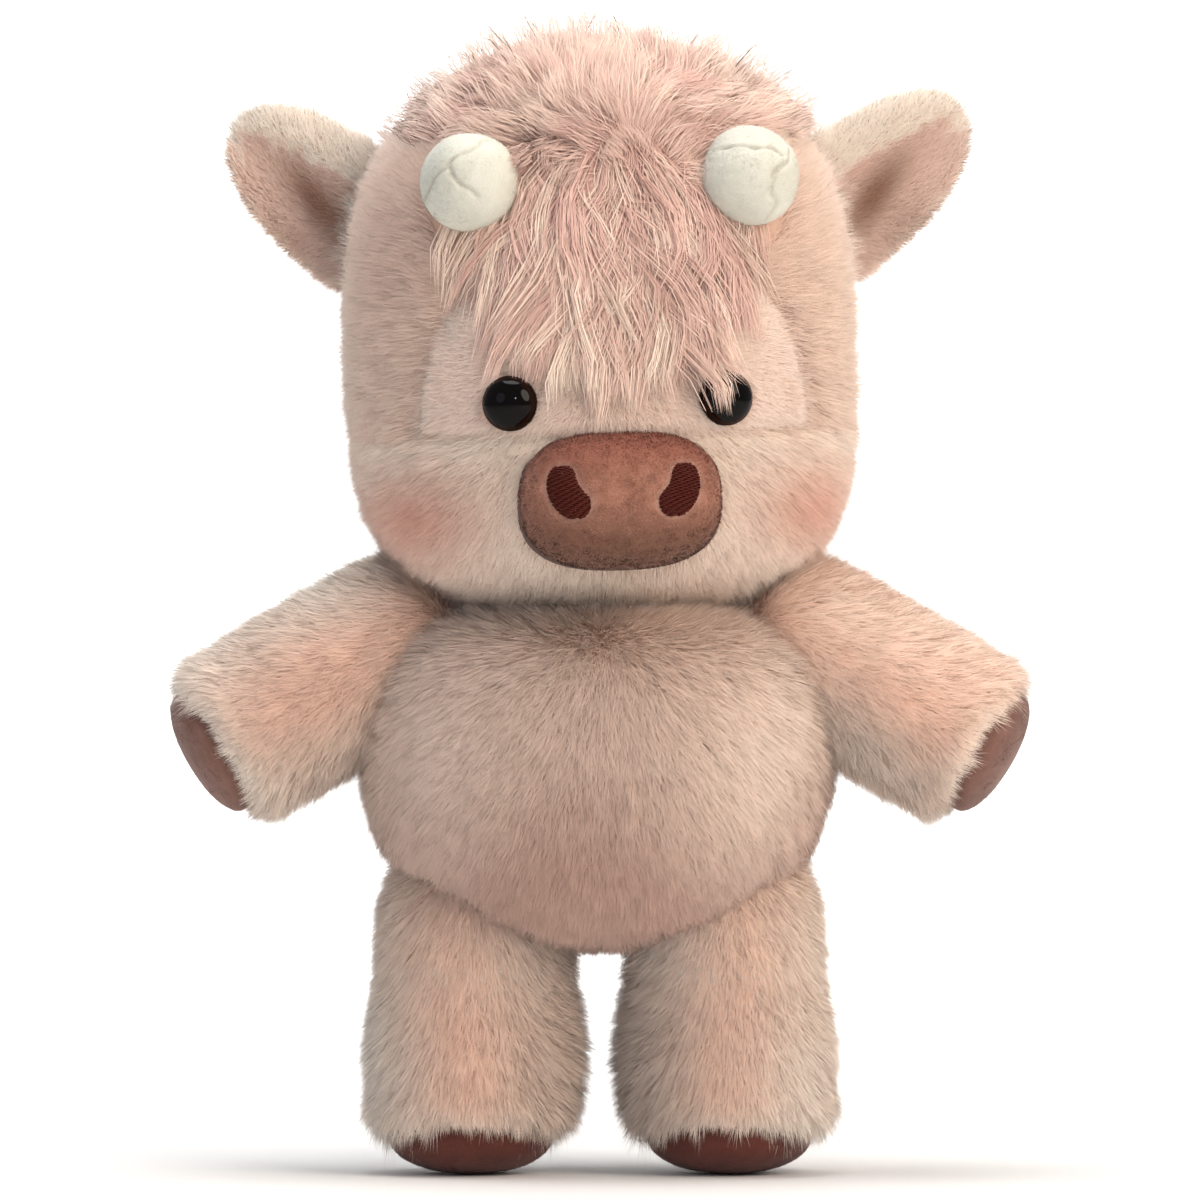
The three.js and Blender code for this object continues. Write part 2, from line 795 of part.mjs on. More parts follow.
for (const side of [-1, 1]) {
  const hand = side < 0 ? 'right' : 'left';
  const leg = limbPieces(legForm, footPellets(seatGap));
  const legGroup = legPlace(side, 0);
  group.add(legGroup);
  const floor = box(wide, wide, wide, [0, 0, -hipHeight - wide / 2]);
  piece(`leg_skin_${hand}`, leg.skin, material.plush, legGroup);
  piece(`leg_fill_${hand}`, leg.fill, material.fibre, legGroup);
  piece(`foot_pad_${hand}`, leg.pad.subtract(floor), material.footPad, legGroup);
  piece(`foot_pellets_${hand}`, footPellets(0), material.pellets, legGroup);
}

// Body: two plush halves over the stuffing, with sockets that clear the limbs through their travel

const bodyForm = {
  width: bodyWidth,
  front: bodyFront,
  back: bodyBack,
  rise: bodyRise,
  drop: bodyDrop,
  planPower: bodyPlanPower,
  upperPower: shoulderPower,
  lowerPower: seatPower,
};
const toGirth = new THREE.Matrix4().makeTranslation(0, 0, bodyGirthHeight);
const bodyStuffed = (inset) => moved(stuffed(bodyForm, inset), toGirth);

const sockets = joined(
  [-1, 1].flatMap((side) => [
    limbTravel(armForm, [armPlace(side, 0), armPlace(side, -armLowerLimit)]),
    limbTravel(legForm, [legPlace(side, 0), legPlace(side, -legBackLimit), legPlace(side, legForwardLimit)]),
  ]),
);

const aboveNeck = box(wide, wide, neckHeight, [0, 0, neckHeight * 1.5]);
const bodyWhole = bodyStuffed(0).subtract(aboveNeck).subtract(sockets);
const bodyShell = bodyWhole.subtract(bodyStuffed(plushThickness).add(neckPlug(0)));
const bodyCore = bodyWhole.intersect(bodyStuffed(plushThickness + seatGap).add(neckPlug(seatGap)));

const seatBall = (radius) =>
  moved(
    revolved(
      Array.from({ length: bagRows }, (_, step) => {
        const angle = -Math.PI / 2 + ((step + 0.5) / bagRows) * Math.PI;
        return [radius * Math.cos(angle), radius * Math.sin(angle)];
      }),
      smallSides,
    ),
    new THREE.Matrix4().makeTranslation(0, bodyBack - plushThickness - seatPelletRadius * 0.8, seatPelletHeight),
  );

for (const side of [-1, 1]) {
  const hand = side < 0 ? 'right' : 'left';
  const half = box(wide, wide, wide, [side * (wide / 2 + seamGap / 2), 0, 0]);
  piece(`body_panel_${hand}`, bodyShell.intersect(half), material.plush, group);
}
piece('body_fill', bodyCore.subtract(seatBall(seatPelletRadius + seatGap)), material.fibre, group);
piece('seat_pellets', bodyCore.intersect(seatBall(seatPelletRadius)), material.pellets, group);

export default group;
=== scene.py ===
# %% [markdown]
# # A standing plush calf
# The toy is sewn from long-pile plush, filled with fibre, and stands on two domed soles.
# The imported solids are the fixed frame. They give every place and every joint. This lesson
# dresses them: fine skins first, then the pile itself as real strands, then the small parts.

# %% The frame
import math

import bmesh
import bpy
import numpy as np
from mathutils import Matrix, Vector, kdtree
from mathutils.bvhtree import BVHTree


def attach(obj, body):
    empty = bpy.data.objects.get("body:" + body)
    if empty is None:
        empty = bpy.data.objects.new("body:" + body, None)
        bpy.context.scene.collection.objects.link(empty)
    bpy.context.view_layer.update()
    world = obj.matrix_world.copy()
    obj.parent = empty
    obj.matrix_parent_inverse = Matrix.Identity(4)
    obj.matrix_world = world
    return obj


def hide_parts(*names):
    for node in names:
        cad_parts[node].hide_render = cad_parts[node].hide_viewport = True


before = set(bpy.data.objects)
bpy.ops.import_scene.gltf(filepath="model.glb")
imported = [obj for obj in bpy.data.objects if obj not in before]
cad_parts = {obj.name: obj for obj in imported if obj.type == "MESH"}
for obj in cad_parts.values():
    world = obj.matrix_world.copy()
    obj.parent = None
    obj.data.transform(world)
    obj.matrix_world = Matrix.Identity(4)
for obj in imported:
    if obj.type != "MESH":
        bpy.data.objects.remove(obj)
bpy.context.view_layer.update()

scene = bpy.context.scene

# %% [markdown]
# ## Lengths and places
# Sizes are in millimetres, as they stand in the solids, and become metres when a mesh is made.
# The toy faces -Y. Its own left hand is on +X, which is the right of the picture.

# %% Lengths
MM = 0.001
HIP_LINE = 6.5
RIGHT, LEFT = -1, 1
HANDS = {RIGHT: "right", LEFT: "left"}

# plan, upper and lower say how square a form is seen from above, and over and under its middle:
# 2 is round, and more is squarer
BODY = dict(width=129, front=55, back=47, rise=48, drop=47, plan=2.15, upper=3.4, lower=2.05)
BODY_HEIGHT = 104
HEAD = dict(width=135, front=52, back=54, rise=74, drop=75.5, plan=2.35, upper=2.4, lower=3.5)
HEAD_HEIGHT = 222.5
MUZZLE = dict(out=9, drop=46, width=40, height=27)


def turned(degrees, axis):
    return Matrix.Rotation(math.radians(degrees), 4, axis)


def moved(x, y, z):
    return Matrix.Translation((x, y, z))


HEAD_TILT = -1.6  # degrees: its crown leans to the toy's right
HEAD_TURN = 4.5  # degrees: it looks a little to the toy's left
TORSO_PLACE = moved(0, HIP_LINE, BODY_HEIGHT)
HEAD_PLACE = moved(0, HIP_LINE, HEAD_HEIGHT) @ turned(HEAD_TILT, "Y") @ turned(HEAD_TURN, "Z")
print("head middle at", [round(v, 1) for v in HEAD_PLACE.translation])

# %% [markdown]
# ## A stuffed form
# A stuffed bag is neither a ball nor a box: the fibre pushes its flanks out evenly, and the seams
# hold it squarer than a ball. It could be sculpted by hand, or blown up by a cloth simulation.
# Here a sphere's points are moved onto a rounded plan and a rounded profile, because the same
# few sizes made the solids, so the fine skin follows them exactly.

# %% Reading and moving points
def read(mesh, kind):
    """What Blender keeps for each vertex under this name, as a row of three numbers each."""
    flat = np.empty(len(mesh.vertices) * 3, np.float32)
    mesh.vertices.foreach_get(kind, flat)
    return flat.reshape(-1, 3).astype(float)


def points_of(mesh):
    return read(mesh, "co")


def normals_of(mesh):
    return read(mesh, "normal")


def set_points(mesh, points):
    mesh.vertices.foreach_set("co", points.astype(np.float32).ravel())
    mesh.update()


# %% Stuffed forms
def signed_power(value, power):
    return np.sign(value) * np.abs(value) ** power


def swell(form, x, y, height):
    """How far the cheeks and the muzzle stand forward of the head's plain form."""
    if form is not HEAD:
        return 0 * x
    across = (x / MUZZLE["width"]) ** 2
    along = ((height + MUZZLE["drop"]) / MUZZLE["height"]) ** 2
    fade = np.clip(-y / (form["front"] * 0.5), 0, 1)
    return MUZZLE["out"] * fade * np.exp(-across - along)


def onto_form(form, ball):
    """Moves the points of a ball of radius 1 onto a stuffed form."""
    x, y, z = ball.T
    climb = np.arcsin(np.clip(z, -1, 1))
    around = np.arctan2(y, x)
    power = np.where(z > 0, form["upper"], form["lower"])
    height = np.where(z > 0, form["rise"], form["drop"]) * signed_power(np.sin(climb), 2 / power)
    spread = np.abs(np.cos(climb)) ** (2 / power)
    side = form["width"] / 2 * spread * signed_power(np.cos(around), 2 / form["plan"])
    depth = np.where(y < 0, form["front"], form["back"])
    deep = depth * spread * signed_power(np.sin(around), 2 / form["plan"])
    return np.stack([side, deep - swell(form, side, deep, height), height], 1)


# %% [markdown]
# The eyes, horns, snout and ears sit on the head. The same sizes say where its surface is, so no
# piece has to be placed by eye, and all of them move along if a size is changed.

# %% Where a form's surface is
def spread_at(form, height):
    """How wide a form is at a height, as a share of its widest."""
    power = form["upper"] if height > 0 else form["lower"]
    reach = form["rise"] if height > 0 else form["drop"]
    return (1 - abs(height / reach) ** power) ** (1 / power)


def front_of(form, x, height):
    """The front surface of a form, as a depth, where the front view shows x and height."""
    spread = spread_at(form, height)
    share = abs(x) / (form["width"] / 2 * spread)
    y = -form["front"] * spread * (1 - share ** form["plan"]) ** (1 / form["plan"])
    return y - float(swell(form, np.array(x), np.array(y), np.array(height)))


def side_of(form, y, height):
    """The half width of a form, at a height and a depth behind its middle."""
    spread = spread_at(form, height)
    share = abs(y) / ((form["back"] if y > 0 else form["front"]) * spread)
    return form["width"] / 2 * spread * (1 - share ** form["plan"]) ** (1 / form["plan"])


print("the front of the head is", round(-front_of(HEAD, 0, 0), 1), "mm before its middle")
print("its side is", round(side_of(HEAD, 0, 0), 1), "mm from its middle")

# %% [markdown]
# A bmesh is Blender's editable mesh. Each piece is built in one, becomes an object, and is moved
# to its place at the end, so that its own frame stays simple while it is being shaped.

# %% Helpers that make an object
def finished(name, bm):
    """An object in the toy's frame from a bmesh whose points are millimetres of it.

    Blender's operators may list the same faces in another order on each run. They are sorted,
    because the roots of the pile are thrown over the faces in the order of the list.
    """
    bm.verts.index_update()
    faces = sorted([corner.index for corner in face.verts] for face in bm.faces)
    mesh = bpy.data.meshes.new(name)
    mesh.from_pydata([point.co for point in bm.verts], [], faces)
    bm.free()
    mesh.shade_smooth()
    made = bpy.data.objects.new(name, mesh)
    scene.collection.objects.link(made)
    return made


def ball(name, around, rows):
    bm = bmesh.new()
    bmesh.ops.create_uvsphere(bm, u_segments=around, v_segments=rows, radius=1)
    return finished(name, bm)


def sink(mesh, depth):
    """Moves a skin's points inward along its normals, to where the pile grows from."""
    set_points(mesh, points_of(mesh) - normals_of(mesh) * np.reshape(depth, (-1, 1)))


def settle(obj, place):
    """Brings a piece from millimetres of its own frame to metres of the toy's."""
    obj.data.transform(Matrix.Scale(MM, 4) @ place)
    print(obj.name, "has", len(obj.data.polygons), "faces")
    return obj


def dress(obj, place, body, slot, *nodes):
    """Settles a piece, lets it ride on its body, and hides the solids it stands in for."""
    settle(obj, place)
    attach(obj, body)
    if nodes:
        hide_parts(*nodes)
    return obj


def keep_value(mesh, name, values):
    """Keeps one number for each vertex, which a material can read by its name."""
    mesh.attributes.new(name, "FLOAT", "POINT").data.foreach_set("value", values.astype(np.float32))


def keep_vectors(mesh, name, values):
    """Keeps three numbers for each vertex."""
    kept = mesh.attributes.new(name, "FLOAT_VECTOR", "POINT")
    kept.data.foreach_set("vector", values.astype(np.float32).ravel())


# %% [markdown]
# ## Materials
# Every cloth here is polyester, whose fibres have an IOR of about 1.57 and a dull sheen. A colour
# is given as the hex value a picture would show, and one function turns it to the linear value
# that the renderer wants. A pattern's scale comes from the real thread or fibre in millimetres.

# %% Colour and nodes
def linear(code):
    """The linear colour that a hex code stands for."""
    channels = [int(code[at : at + 2], 16) / 255 for at in (1, 3, 5)]
    return [c / 12.92 if c <= 0.04045 else ((c + 0.055) / 1.055) ** 2.4 for c in channels] + [1]


def node(tree, kind, inputs=None, **settings):
    """Adds a node, sets it up, and links or fills its sockets."""
    made = tree.nodes.new("ShaderNode" + kind)
    for name, value in settings.items():
        setattr(made, name, value)
    for socket, value in (inputs or {}).items():
        if isinstance(value, bpy.types.NodeSocket):
            tree.links.new(value, made.inputs[socket])
        else:
            made.inputs[socket].default_value = value
    return made


def surface(name, **values):
    """A material with one Principled shader, its even values set on the sockets themselves."""
    print("material", name)
    made = bpy.data.materials.new(name)
    made.use_nodes = True
    tree = made.node_tree
    shader = tree.nodes["Principled BSDF"]
    for socket, value in values.items():
        shader.inputs[socket.replace("_", " ")].default_value = value
    return made, tree, shader


POLYESTER = {"IOR": 1.57, "Metallic": 0.0}


# %% [markdown]
# ### Pile
# A strand of pile is drawn wool-soft: painted pale at its tip, where the light reaches, and painted
# deeper at its root, for the shade among the strands, and no two tufts are quite alike. The strands
# carry what they need as attributes: how far along a point lies, how bright its tuft is, how far it
# leans to a second colour, and how much airbrushed blush and painted shade it carries. So one node
# set-up serves every panel, and the pattern moves with it.
# A Mix node blends its sockets 6 and 7 by its socket 0, and a Map Range node turns the range in
# its sockets 1 and 2 into the one in 3 and 4.

# %% Pile materials
def pile_material(name, deep, pale, second_deep, second_pale, blush="#E2A08A", vary=(0.87, 1.11), **values):
    """vary is how dark and how bright the dullest and the brightest strands are."""
    made, tree, shader = surface(name, **{**POLYESTER, **values})
    strand = node(tree, "Attribute", attribute_name="pile")
    part = node(tree, "SeparateXYZ", {0: strand.outputs["Vector"]})
    along, bright, tone = part.outputs
    # Painted shade: each strand is deepest at its root and pales towards its tip
    early = node(tree, "Math", {0: along, 1: 0.5}, operation="POWER")
    first = node(tree, "Mix", {0: early.outputs[0], 6: linear(deep), 7: linear(pale)}, data_type="RGBA")
    deep_to_pale = {0: early.outputs[0], 6: linear(second_deep), 7: linear(second_pale)}
    second = node(tree, "Mix", deep_to_pale, data_type="RGBA")
    either = node(tree, "Mix", {0: tone, 6: first.outputs[2], 7: second.outputs[2]}, data_type="RGBA")
    # Airbrushed blush on the cheeks, and painted shade on the body, the limbs, the snout and one horn
    blush_and_shade_reach = node(tree, "Attribute", attribute_name="blush").outputs["Fac"]
    blushed_and_shaded = node(tree, "Mix", {0: blush_and_shade_reach, 6: either.outputs[2], 7: linear(blush)}, data_type="RGBA")
    value = node(tree, "MapRange", {0: bright, 3: vary[0], 4: vary[1]})
    varied = node(tree, "HueSaturation", {"Value": value.outputs[0], "Color": blushed_and_shaded.outputs[2]})
    tree.links.new(varied.outputs[0], shader.inputs["Base Color"])
    return made


# %% The toy's piles
SOFT = {"Roughness": 0.78, "Specular_IOR_Level": 0.25, "Sheen_Weight": 0.5, "Sheen_Roughness": 0.5}
SHORT_NAP = {**POLYESTER, **SOFT, "Sheen_Weight": 0.1}

# Long-pile faux fur in cream, leaning to a pink taupe
cream_pile = pile_material("long_pile_faux_fur_cream", "#D9B4A0", "#F6E0CE", "#BE9585", "#DDB8A8", **SOFT)
# The fur of the muzzle, the palest on the face
pale_pile = pile_material("long_pile_faux_fur_pale", "#EBCFBB", "#FFF3E3", "#DDB7A4", "#F6DACA", **SOFT)
# The fur of the ears, which lies over less stuffing: painted paler, for the light that comes through
ear_pile = pile_material("long_pile_faux_fur_ear", "#F7E2D3", "#FFF8EC", "#EDCDBB", "#FBE6D8", **SOFT)
# The fur of the body: painted a deeper, greyer pink towards its underside, and a brown-grey on the
# flanks and low in front on the right, for the shade there
body_pile = pile_material(
    "long_pile_faux_fur_body", "#E0BDAA", "#FCE9D9", "#B58E7F", "#D3AF9F", blush="#8E6A5B", **SOFT
)
# The fur of the limbs, cream at its edges and apricot along its middle, and brown-grey where shade is
# painted between the legs
limb_pile = pile_material(
    "long_pile_faux_fur_apricot", "#F0D5C2", "#FFF6EA", "#EBBCA4", "#FFDDC8", blush="#8E6A5B", **SOFT
)
# The same fur cut short for the face
short_pile = pile_material("short_pile_faux_fur_cream", "#EACBB9", "#FFEEE0", "#E3C0AF", "#FBE2D4", **SOFT)
# Long mauve fur with cream strands in it
mauve_pile = pile_material("long_pile_faux_fur_mauve", "#B58678", "#E2BDB0", "#CFA892", "#FAE8D6", **SOFT)

# %% [markdown]
# ### Short-nap cloth
# The snout, the ear linings, the pads and the horns are velboa: a knit whose fibres stand only
# about a millimetre tall. Up close it is a soft grain of fibre ends that lie in patches, so it is
# drawn as fine noise over slow noise, with a bump that is as shallow as the nap.

# %% Nap materials
FIBRE_END = 0.5  # drawn ten times as wide as the real 0.05 mm, so that it shows


def nap_material(name, dark, light, patch=9, marks=None, **values):
    """patch is the size in millimetres of the areas where the nap lies one way.

    marks gives a colour for each attribute that says where the cloth is marked or shaded.
    """
    made, tree, shader = surface(name, **{**SHORT_NAP, **values})
    place = node(tree, "TexCoord").outputs["Object"]
    grain = node(tree, "TexNoise", {"Vector": place, "Scale": 1 / (FIBRE_END * MM), "Detail": 3})
    drift = node(tree, "TexNoise", {"Vector": place, "Scale": 1 / (patch * MM), "Detail": 2})
    slow = node(tree, "Math", {0: drift.outputs[0], 1: 0.55}, operation="MULTIPLY")
    both = node(tree, "Math", {0: grain.outputs[0], 1: 0.45, 2: slow.outputs[0]}, operation="MULTIPLY_ADD")
    spread = node(tree, "MapRange", {0: both.outputs[0], 1: 0.3, 2: 0.7})
    colour = node(tree, "Mix", {0: spread.outputs[0], 6: linear(dark), 7: linear(light)}, data_type="RGBA")
    result = colour.outputs[2]
    for mark, code in (marks or {}).items():
        reach = node(tree, "Attribute", attribute_name=mark).outputs["Fac"]
        result = node(tree, "Mix", {0: reach, 6: result, 7: linear(code)}, data_type="RGBA").outputs[2]
    bump = node(tree, "Bump", {"Strength": 0.6, "Distance": FIBRE_END * MM, "Height": both.outputs[0]})
    tree.links.new(result, shader.inputs["Base Color"])
    tree.links.new(bump.outputs[0], shader.inputs["Normal"])
    return made


# %% The toy's short naps
# The snout's rose-brown velboa: redder above, painted greyer and darker below for the shade on its
# lower half, pale where the stitches pull its nap apart, and nearly black round its edge, for its
# seam and for painted shade where the edge turns under
snout_nap = nap_material(
    "velboa_brown_snout", "#784A3A", "#AE7A65", patch=5,
    marks={"upper": "#7F4636", "lower": "#654536", "halo": "#C0998A", "rim": "#3F241D"},
)
# The brown velboa of the hands, dull and even, a quiet end to the bright sleeve
hand_nap = nap_material("velboa_brown_hand", "#6B4A40", "#836055")
# The russet velboa of the soles, the darkest cloth of the toy, which gives it weight
foot_nap = nap_material("velboa_russet_sole", "#4C241D", "#67352C")
# The ivory velboa of the horns, cool beside the warm fur, and painted greyer along the creases of
# its seams, for the shade in them
horn_nap = nap_material("velboa_ivory_horn", "#C8C7B9", "#DEDDD0", patch=12, marks={"seam": "#A9A493"})
# Knitted polyester backing, which the pile hides: painted deeper in colour, for the shade it lies in
backing = nap_material("knitted_backing", "#CDA793", "#E0C0AE", patch=4)

# %% [markdown]
# ## Laying pile
# Real fur fabric holds thousands of fibres to the square centimetre. Blender's own hair would
# render well, but it isn't a mesh, so it couldn't leave with the model. Each strand here is a
# narrow ribbon of mesh, wider than a fibre so that fewer of them cover the cloth. It springs up
# from the skin, leans the way the panel was brushed, and gathers with its neighbours in a tuft.

# %% Small helpers
def unit(vectors):
    """The same directions, each of length 1."""
    return vectors / np.maximum(np.linalg.norm(vectors, axis=-1, keepdims=True), 1e-9)


def smooth(low, high, value):
    """0 up to low and 1 from high on, with a soft rise between them. low may be the larger one."""
    part = np.clip((value - low) / (high - low), 0, 1)
    return part * part * (3 - 2 * part)


def at_each(value, root):
    """A value that is given outright, or as a rule that reads the roots."""
    return value(root) if callable(value) else np.full(len(root), float(value))


def nearest(middles, places):
    """For each place, the number of the middle that lies closest."""
    tree = kdtree.KDTree(len(middles))
    for at, middle in enumerate(middles):
        tree.insert(middle, at)
    tree.balance()
    return np.fromiter((tree.find(place)[1] for place in places), int, len(places))


# %% [markdown]
# ### Roots
# The roots are thrown at random over the skin's triangles, more of them on the larger ones, so
# the pile is equally thick all over. The throw is seeded and the triangles are always listed in
# the same order, so each run grows the same coat.

# %% Roots
def scatter(skin, per_mm2, rng):
    """Random roots over a skin: their places, and the way out of the cloth there."""
    mesh = skin.data
    mesh.calc_loop_triangles()
    corners = np.empty(len(mesh.loop_triangles) * 3, np.int32)
    mesh.loop_triangles.foreach_get("vertices", corners)
    corners = corners.reshape(-1, 3)
    places, outward = points_of(mesh), normals_of(mesh)
    a, b, c = (places[corners[:, k]] for k in range(3))
    area = np.linalg.norm(np.cross(b - a, c - a), axis=1) / 2
    count = int(area.sum() * per_mm2)
    face = np.searchsorted(np.cumsum(area), rng.random(count) * area.sum())
    face = np.minimum(face, len(area) - 1)
    s, t = np.sqrt(rng.random(count)), rng.random(count)
    weight = np.stack([1 - s, s * (1 - t), s * t], 1)[:, :, None]
    return (places[corners[face]] * weight).sum(1), unit((outward[corners[face]] * weight).sum(1))


def slow_wave(points, size, seed):
    """A smooth random value over the cloth, about size millimetres from crest to crest."""
    rng = np.random.default_rng(seed)
    waves = unit(rng.normal(size=(6, 3))) * 2 * np.pi / size
    return np.sin(points @ waves.T + rng.random(6) * 2 * np.pi).mean(1) * 1.6


# %% [markdown]
# ### Ribbons
# All the strands of a panel are one mesh, because Blender slows down with thousands of objects.
# Its arrays are filled at once with NumPy, since a loop over each corner would take minutes.

# %% The ribbons' corners
TAPER = 0.45  # how much of its width a ribbon has lost at its tip
UNEVEN = (0.8, 1.2)  # the narrowest and the widest ribbon, as shares of the width


def ribbon_corners(paths, up, width, twist, rng):
    """Two corners at each point of a path and one at its tip, and the way each ribbon faces."""
    count, points, _ = paths.shape
    along = unit(np.gradient(paths, axis=1))
    side = unit(np.cross(along, up[:, None, :]))
    flat = np.cross(side, along)
    angle = np.radians(rng.normal(0, twist, (count, 1, 1)).clip(-70, 70))
    side, flat = side * np.cos(angle) + flat * np.sin(angle), flat * np.cos(angle) - side * np.sin(angle)
    narrowing = (width / 2 * (1 - TAPER * np.linspace(0, 1, points) ** 2))[None, :-1, None]
    half = narrowing * rng.uniform(*UNEVEN, (count, 1, 1))
    corners = np.empty((count, 2 * points - 1, 3))
    corners[:, 0:-1:2] = paths[:, :-1] - side[:, :-1] * half
    corners[:, 1:-1:2] = paths[:, :-1] + side[:, :-1] * half
    corners[:, -1] = paths[:, -1]
    return corners, flat


# %% The ribbons' mesh
def ribbon_mesh(name, corners):
    """A mesh of all ribbons, and the order in which one ribbon's faces go round its corners."""
    count, size, _ = corners.shape
    strip = [[at, at + 1, at + 3, at + 2] for at in range(0, size - 3, 2)]
    strip.append([size - 3, size - 2, size - 1])
    loop = np.concatenate(strip)
    sizes = np.array([len(face) for face in strip])
    faces = (np.arange(count)[:, None] * size + loop).ravel()
    starts = (np.arange(count)[:, None] * len(loop) + np.cumsum(sizes) - sizes).ravel()
    mesh = bpy.data.meshes.new(name)
    mesh.vertices.add(count * size)
    mesh.vertices.foreach_set("co", corners.astype(np.float32).ravel())
    mesh.loops.add(len(faces))
    mesh.loops.foreach_set("vertex_index", faces.astype(np.int32))
    mesh.polygons.add(len(starts))
    mesh.polygons.foreach_set("loop_start", starts.astype(np.int32))
    mesh.update(calc_edges=True)
    mesh.shade_smooth()
    return mesh, loop


# %% The ribbons' map
def cells(count):
    """A map with one cell for each strand, for its colours to be baked into."""
    across = int(np.ceil(np.sqrt(count)))
    at = np.arange(count)
    row = at // across
    column = np.where(row % 2 == 0, at % across, across - 1 - at % across)
    return np.stack([column, row], 1) / across, 1 / across


def give_map(mesh, count, share, loop):
    """Lays each ribbon in its own cell. share is how far along the ribbon each corner lies."""
    cell, step = cells(count)
    left_or_right = np.where(np.arange(len(share)) % 2 == 0, 0.1, 0.9)
    local = np.stack([left_or_right, 0.05 + 0.9 * share], 1)
    local[-1, 0] = 0.5
    place = (cell[:, None, :] + local[None, :, :] * step)[:, loop]
    mesh.uv_layers.new(name="OFBake").data.foreach_set("uv", place.astype(np.float32).ravel())


# %% What each ribbon carries
BLOCK = 6  # strands rooted in the same block of so many millimetres are stored together
CLOTH_SHINE, FIBRE_SHINE = 0.9, 0.22  # a tuft is lit as the cloth is, more than as one fibre


def ribbons(name, paths, up, width, bright, tone, blush, material, twist, rng):
    """One mesh of tapering ribbons along paths, which are points for each strand, root to tip."""
    order = np.lexsort(np.floor(paths[:, 0] / BLOCK).T)
    paths, up, bright, tone, blush = (values[order] for values in (paths, up, bright, tone, blush))
    count, points, _ = paths.shape
    corners, flat = ribbon_corners(paths, up, width, twist, rng)
    mesh, loop = ribbon_mesh(name, corners)
    size = 2 * points - 1
    rank = np.minimum(np.arange(size) // 2, points - 1)
    share = np.linspace(0, 1, points)[rank]
    values = np.empty((count, size, 3))
    values[:, :, 0] = share
    values[:, :, 1] = bright[:, None]
    values[:, :, 2] = tone[:, None]
    keep_vectors(mesh, "pile", values)
    # Airbrushed blush and painted shade, one number for each strand
    keep_value(mesh, "blush", np.repeat(blush, size))
    keep_vectors(mesh, "custom_normal", unit(up[:, None, :] * CLOTH_SHINE + flat[:, rank] * FIBRE_SHINE))
    give_map(mesh, count, share, loop)
    mesh.materials.append(material)
    made = bpy.data.objects.new(name, mesh)
    scene.collection.objects.link(made)
    return made


# %% [markdown]
# ### Growing pile
# A strand springs up from the backing and then bends over the way the cloth was brushed. No two
# strands are alike, and no two tufts: each strand strays a little from its tuft, and each tuft
# has a whim of its own. The strands of a tuft lean together towards their tips.

# %% Growing pile
ROOTED = 0.5  # how deep a strand stands in its backing
SPRING, BEND = 1.6, 1.5  # how soon a strand rises, and how late it bends over
STRAY = dict(length=0.1, lean=6, bright=0.16)
WHIM = dict(turn=0.6, length=0.07, lean=5, bright=0.16)


def pile(name, skin, material, per_mm2, length, lean, flow, keep=None, tone=0.0, blush=0.0, width=0.34,
         tuft=3.2, gather=0.22, ruffle=13, swirl=9, rows=2, twist=38, seed=1):
    """Grows one panel's pile. lean is its angle from upright, and flow the way it is brushed.

    tuft is the size of a tuft, and gather how far its tips draw together. ruffle turns each
    strand aside and swirl each tuft, in degrees, and twist rolls a ribbon about itself.
    """
    rng = np.random.default_rng(seed)
    root, up = scatter(skin, per_mm2, rng)
    if keep:
        chosen = keep(root, up)
        root, up = root[chosen], up[chosen]
    count = len(root)
    middles = rng.choice(count, max(8, int(count / (per_mm2 * tuft**2))), replace=False)
    group = nearest(root[middles], root) if gather else rng.integers(0, len(middles), count)
    whim = rng.normal(size=(len(middles), 4))[group].clip(-2, 2)
    brushed = flow(root)
    heading = unit(brushed - up * (brushed * up).sum(1, keepdims=True))
    turn = ruffle * rng.normal(size=count) + swirl * (WHIM["turn"] * whim[:, 0] + slow_wave(root, 26, seed))
    turn = np.radians(turn)[:, None]
    heading = heading * np.cos(turn) + np.cross(up, heading) * np.sin(turn)
    uneven = (1 + STRAY["length"] * rng.normal(size=count) + WHIM["length"] * whim[:, 1]).clip(0.5, 1.5)
    long = at_each(length, root) * uneven
    tilt = at_each(lean, root) + STRAY["lean"] * rng.normal(size=count) + WHIM["lean"] * whim[:, 2]
    tilt = np.radians(tilt.clip(5, 82))
    share = np.linspace(0, 1, rows)
    rise = (long * np.cos(tilt))[:, None, None] * (1 - (1 - share) ** SPRING)[None, :, None]
    run = (long * np.sin(tilt))[:, None, None] * (share**BEND)[None, :, None]
    paths = root[:, None, :] + up[:, None, :] * (rise - ROOTED) + heading[:, None, :] * run
    held = np.bincount(group, minlength=len(middles)).clip(1)[:, None, None]
    middle_path = np.zeros((len(middles), rows, 3))
    np.add.at(middle_path, group, paths)
    paths += ((middle_path / held)[group] - paths) * (gather * share**1.5)[None, :, None]
    bright = (0.5 + STRAY["bright"] * rng.normal(size=count) + WHIM["bright"] * whim[:, 3]).clip(0, 1)
    return ribbons(name, paths, up, width, bright, at_each(tone, root).clip(0, 1),
                   at_each(blush, root).clip(0, 1), material, twist, rng)


# %% [markdown]
# ### Two coats
# Real plush looks dense because short fibres fill the space under the long ones. Drawing that
# many strands would be slow, so a coat of fewer, wider and shorter ribbons fills it here.

# %% Two coats
PILE_DEPTH = 4.6  # how far under the mean surface the long pile is rooted


